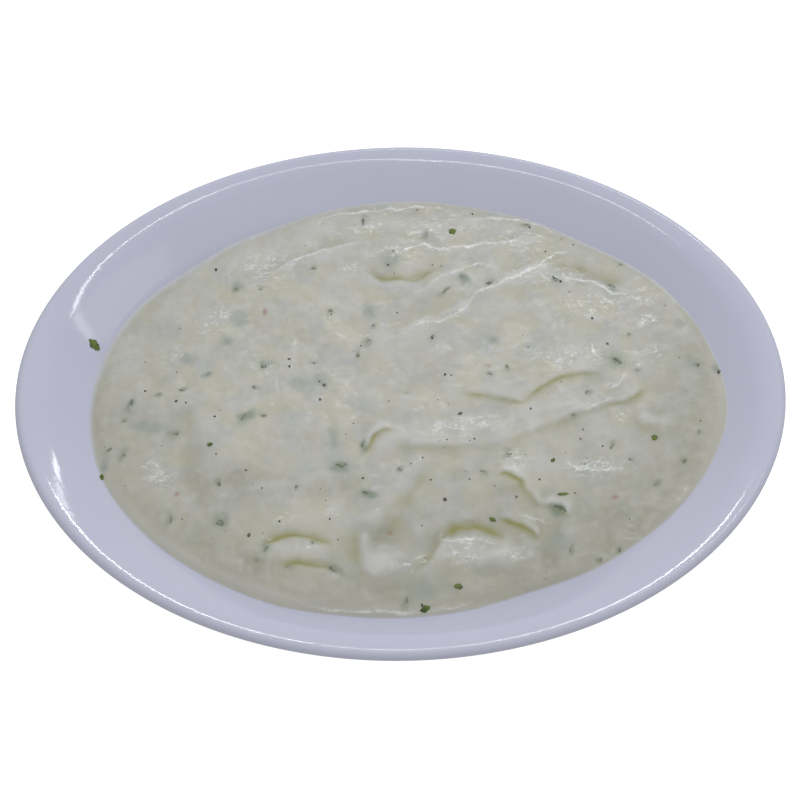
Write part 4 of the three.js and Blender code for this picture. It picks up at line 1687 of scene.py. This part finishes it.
def scattered(
    count: int, seed: int, relief: Relief, clearance: float
) -> tuple[Array, np.random.Generator]:
    """Draws places spread over the mash.

    Args:
        count: How many.
        seed: Seed of the draw.
        relief: The mash's surface.
        clearance: Least distance from its edge.

    Returns:
        The places, one row each, and the source that drew them.
    """
    draw = np.random.default_rng(seed)
    places: list[Array] = []
    while len(places) < count:
        place = draw.uniform(-1, 1, 2) * (relief.half_length, relief.half_width)
        inside, _, _ = relief.inward(place[0:1] + relief.shift, place[1:2])
        if inside[0] > clearance:
            places.append(place + np.array((relief.shift, 0)))
    return np.array(places), draw


@dataclass
class Pepper:
    """Ground pepper on the mash: broken grains, half sunk.

    Attributes:
        relief: The mash's surface.
        dust: How many more tiny grains there are.
        dust_width: Width of those.
        dust_range: The least and the most of that width that a grain has.
        dust_clearance: How far inside the mash's edge those lie.
        seed: Seed of all draws.
        broken: How far the corners of a grain stand out or in, over its size.
        length_range: The least and the most of its width that a grain is long.
        flat: Its breadth and its height, over its width.
        turn_range: The least and the most that it is turned, in radians.
        proud: How far its middle stands above the mash, over its width.
    """

    relief: Relief
    dust: int = 70
    dust_width: float = 0.34
    dust_range: Point = (0.6, 1.3)
    dust_clearance: float = 3.0
    seed: int = 21
    broken: float = 0.25
    length_range: Point = (0.9, 1.4)
    flat: Point = (0.9, 0.7)
    turn_range: Point = (0, 6.3)
    proud: float = 0.04

    def build(self, material: bpy.types.Material) -> bpy.types.Object:
        """Builds all grains as one piece."""
        places, draw = scattered(self.dust, self.seed, self.relief, self.dust_clearance)
        widths = self.dust_width * draw.uniform(*self.dust_range, self.dust)
        grains = np.vstack([GRAINS, np.column_stack([places, widths])])
        heights = self.relief.height(grains[:, 0], grains[:, 1])
        bm = bmesh.new()
        for (x, y, width), height in zip(grains, heights):
            grain = bmesh.ops.create_icosphere(bm, subdivisions=1, radius=width / 2)["verts"]
            for vert in grain:
                vert.co *= 1 + self.broken * draw.uniform(-1, 1)
            form = Vector((draw.uniform(*self.length_range), *self.flat))
            bmesh.ops.scale(bm, vec=form, verts=grain)
            turn = Matrix.Rotation(draw.uniform(*self.turn_range), 3, "Z")
            bmesh.ops.rotate(bm, verts=grain, cent=(0, 0, 0), matrix=turn)
            bmesh.ops.translate(bm, verts=grain, vec=(x, y, height + self.proud * width))
        bmesh.ops.recalc_face_normals(bm, faces=bm.faces)
        return finish_piece(bm, "pepper_grains", (material,), "mash")


# --------------------------------------------------------------------- studio


# Watts for each square metre of an area light whose brightness is 1.
AREA_POWER = 4


@dataclass(frozen=True)
class SoftBox:
    """A soft rectangular light, given by where it stands in the sky.

    Attributes:
        name: Its name.
        azimuth: Its azimuth from +X in degrees.
        elevation: Its elevation in degrees.
        width: Its width in degrees.
        height: Its height in degrees.
        radiance: Its brightness, where 1 is paper white.
        distance: Its distance in metres.
        turn: How far it is turned in its plane, in degrees.
    """

    name: str
    azimuth: float
    elevation: float
    width: float
    height: float
    radiance: float
    distance: float = 1.4
    turn: float = 0.0

    def side(self, angle: float) -> float:
        """Returns the length in metres of a side that fills an angle in degrees."""
        return 2 * self.distance * math.tan(math.radians(angle / 2))


SOFT_BOXES = (
    SoftBox("window_back", 88, 55.5, 8.6, 2.1, 16.0),
    SoftBox("window_bridge", 73, 49, 2.2, 13, 6.0, turn=-45),
    SoftBox("window_left", 60, 39, 3.6, 10, 10.0, turn=-45),
    SoftBox("ceiling_strip", 13, 66, 2.5, 20, 9.0, turn=-16),
    SoftBox("ceiling_strip_end", 6, 50, 2, 12, 2.5, turn=15),
    SoftBox("ceiling_bend", 8, 79, 10.5, 1.5, 9.0, turn=-38),
    SoftBox("ceiling_trail", -64, 82, 18, 1.3, 6.0, turn=27),
    SoftBox("ceiling_trail_end", -135, 78.7, 22, 2.0, 7.0, turn=-3),
    SoftBox("side_window", -14, 46, 28, 14, 0.5),
)


@dataclass
class Studio:
    """The pale floor, the soft lights and the camera.

    Attributes:
        elevation: How steeply the camera looks down, in degrees.
        roll: How far the camera is turned about its view, in degrees.
        distance: Distance from the camera to its target.
        target: What it looks at.
        focal_pixels: Focal length in pixels of an 800-pixel frame.
        frame_pixels: Width of the frame in pixels.
        sensor_width: Width of the sensor, in millimetres as all lenses are.
        clip_start: Nearest thing that the camera sees, in metres.
        floor_gap: How far the floor lies below the foot, in metres.
        floor_reach: Half the side of the floor, in metres.
        floor_tone: The floor's colour in the light that it casts back.
        floor_glow: How much it glows for the light, and for the camera.
        sky_base: Brightness of the sky at the horizon, at the sides.
        sky_slope: How much brighter it is towards +X, towards +Y and overhead.
        sky_bulge: How much brighter it is towards both ends of X, of Y and of Z.
    """

    elevation: float = 65.17
    roll: float = 0.784
    distance: float = 650.0
    target: Triple = (-0.12, -3.67, 30.0)
    focal_pixels: float = 1923.9
    frame_pixels: float = 800.0
    sensor_width: float = 36.0
    clip_start: float = 0.01
    floor_gap: float = 0.0001
    floor_reach: float = 3.0
    floor_tone: Colour = (0.42, 0.42, 0.42, 1)
    floor_glow: Point = (0.1, 0.85)
    sky_base: float = 0.34
    sky_slope: Triple = (0.04, 0.11, 0.38)
    sky_bulge: Triple = (0.0, 0.7, 0.0)

    def camera(self) -> None:
        """Adds the camera."""
        data = bpy.data.cameras.new("camera")
        data.sensor_width = self.sensor_width
        data.lens = self.focal_pixels * self.sensor_width / self.frame_pixels
        data.clip_start = self.clip_start
        camera = placed("camera", data)
        tilt = math.radians(self.elevation)
        back = Vector((0, -math.cos(tilt), math.sin(tilt)))
        turn = Matrix.Rotation(math.radians(90 - self.elevation), 4, "X") \
            @ Matrix.Rotation(math.radians(-self.roll), 4, "Z")
        place = (Vector(self.target) + self.distance * back) * METRES
        camera.matrix_world = Matrix.Translation(place) @ turn
        bpy.context.scene.camera = camera

    def lamp(self, box: SoftBox) -> None:
        """Adds one soft box that faces the dish."""
        data = bpy.data.lights.new(box.name, "AREA")
        data.shape = "RECTANGLE"
        data.size = box.side(box.width)
        data.size_y = box.side(box.height)
        data.energy = AREA_POWER * data.size * data.size_y * box.radiance
        light = placed(box.name, data)
        azimuth, elevation = math.radians(box.azimuth), math.radians(box.elevation)
        way = Vector((math.cos(azimuth) * math.cos(elevation),
                      math.sin(azimuth) * math.cos(elevation), math.sin(elevation)))
        light.matrix_world = Matrix.Translation(way * box.distance) \
            @ way.to_track_quat("Z", "Y").to_matrix().to_4x4() \
            @ Matrix.Rotation(math.radians(box.turn), 4, "Z")

    def floor(self) -> None:
        """Adds the pale floor."""
        bm = bmesh.new()
        bmesh.ops.create_grid(bm, x_segments=1, y_segments=1, size=self.floor_reach)
        bmesh.ops.translate(bm, vec=(0, 0, -self.floor_gap), verts=bm.verts)
        floor = meshed("floor", bm)
        shader = Shader("floor", Base_Color=self.floor_tone, Roughness=0.9,
                        Emission_Color=(1, 1, 1, 1))
        seen = shader.add("LightPath").outputs["Is Camera Ray"]
        shader.set(Emission_Strength=shader.span(seen, *self.floor_glow))
        floor.data.materials.append(shader.material)

    def sky(self) -> None:
        """Adds a white sky that is brighter overhead and at the back."""
        world = bpy.data.worlds.new("studio")
        world.use_nodes = True
        graph = Graph(world.node_tree)
        way = graph.add("TexCoord").outputs["Generated"]
        lean = graph.add("VectorMath", {0: way, 1: self.sky_bulge, 2: self.sky_slope},
                         operation="MULTIPLY_ADD")
        slope = graph.add("VectorMath", {0: lean.outputs["Vector"], 1: way},
                          operation="DOT_PRODUCT")
        background = world.node_tree.nodes["Background"].inputs
        graph.feed(background["Strength"],
                   graph.calculate("ADD", slope.outputs["Value"], self.sky_base))
        graph.feed(background["Color"], (1, 1, 1, 1))
        bpy.context.scene.world = world

    def build(self) -> None:
        """Builds the whole studio."""
        bpy.context.scene.view_settings.view_transform = "Standard"
        self.sky()
        self.floor()
        self.camera()
        for box in SOFT_BOXES:
            self.lamp(box)


def main() -> None:
    """Builds the dish, the mash and what lies on them, and then the studio."""
    logging.basicConfig(level=logging.INFO, format="%(name)s %(message)s")
    mottle = mottle_group()
    dish, relief = OvalDish(), Relief()
    dish.build(GLAZE.make(mottle), BISCUIT.make(mottle))
    Mash(relief, dish).build(MashFinish().make(mottle, stroke_group()))
    fresh, dull = FRESH_HERB.make(mottle), DULL_HERB.make(mottle)
    Herbs(relief.height).build("herb_fresh_leaves", FRESH_LEAVES, fresh, "mash")
    Herbs(relief.height, proud=0.0, dip=0.26).build("herb_dull_leaves", DULL_LEAVES, dull, "mash")
    Herbs(dish.wall_height).build("herb_rim_leaf", (RIM_LEAF,), fresh, "dish")
    Pepper(relief).build(GROUND_PEPPER.make(mottle))
    Studio().build()


if __name__ == "__main__":
    main()
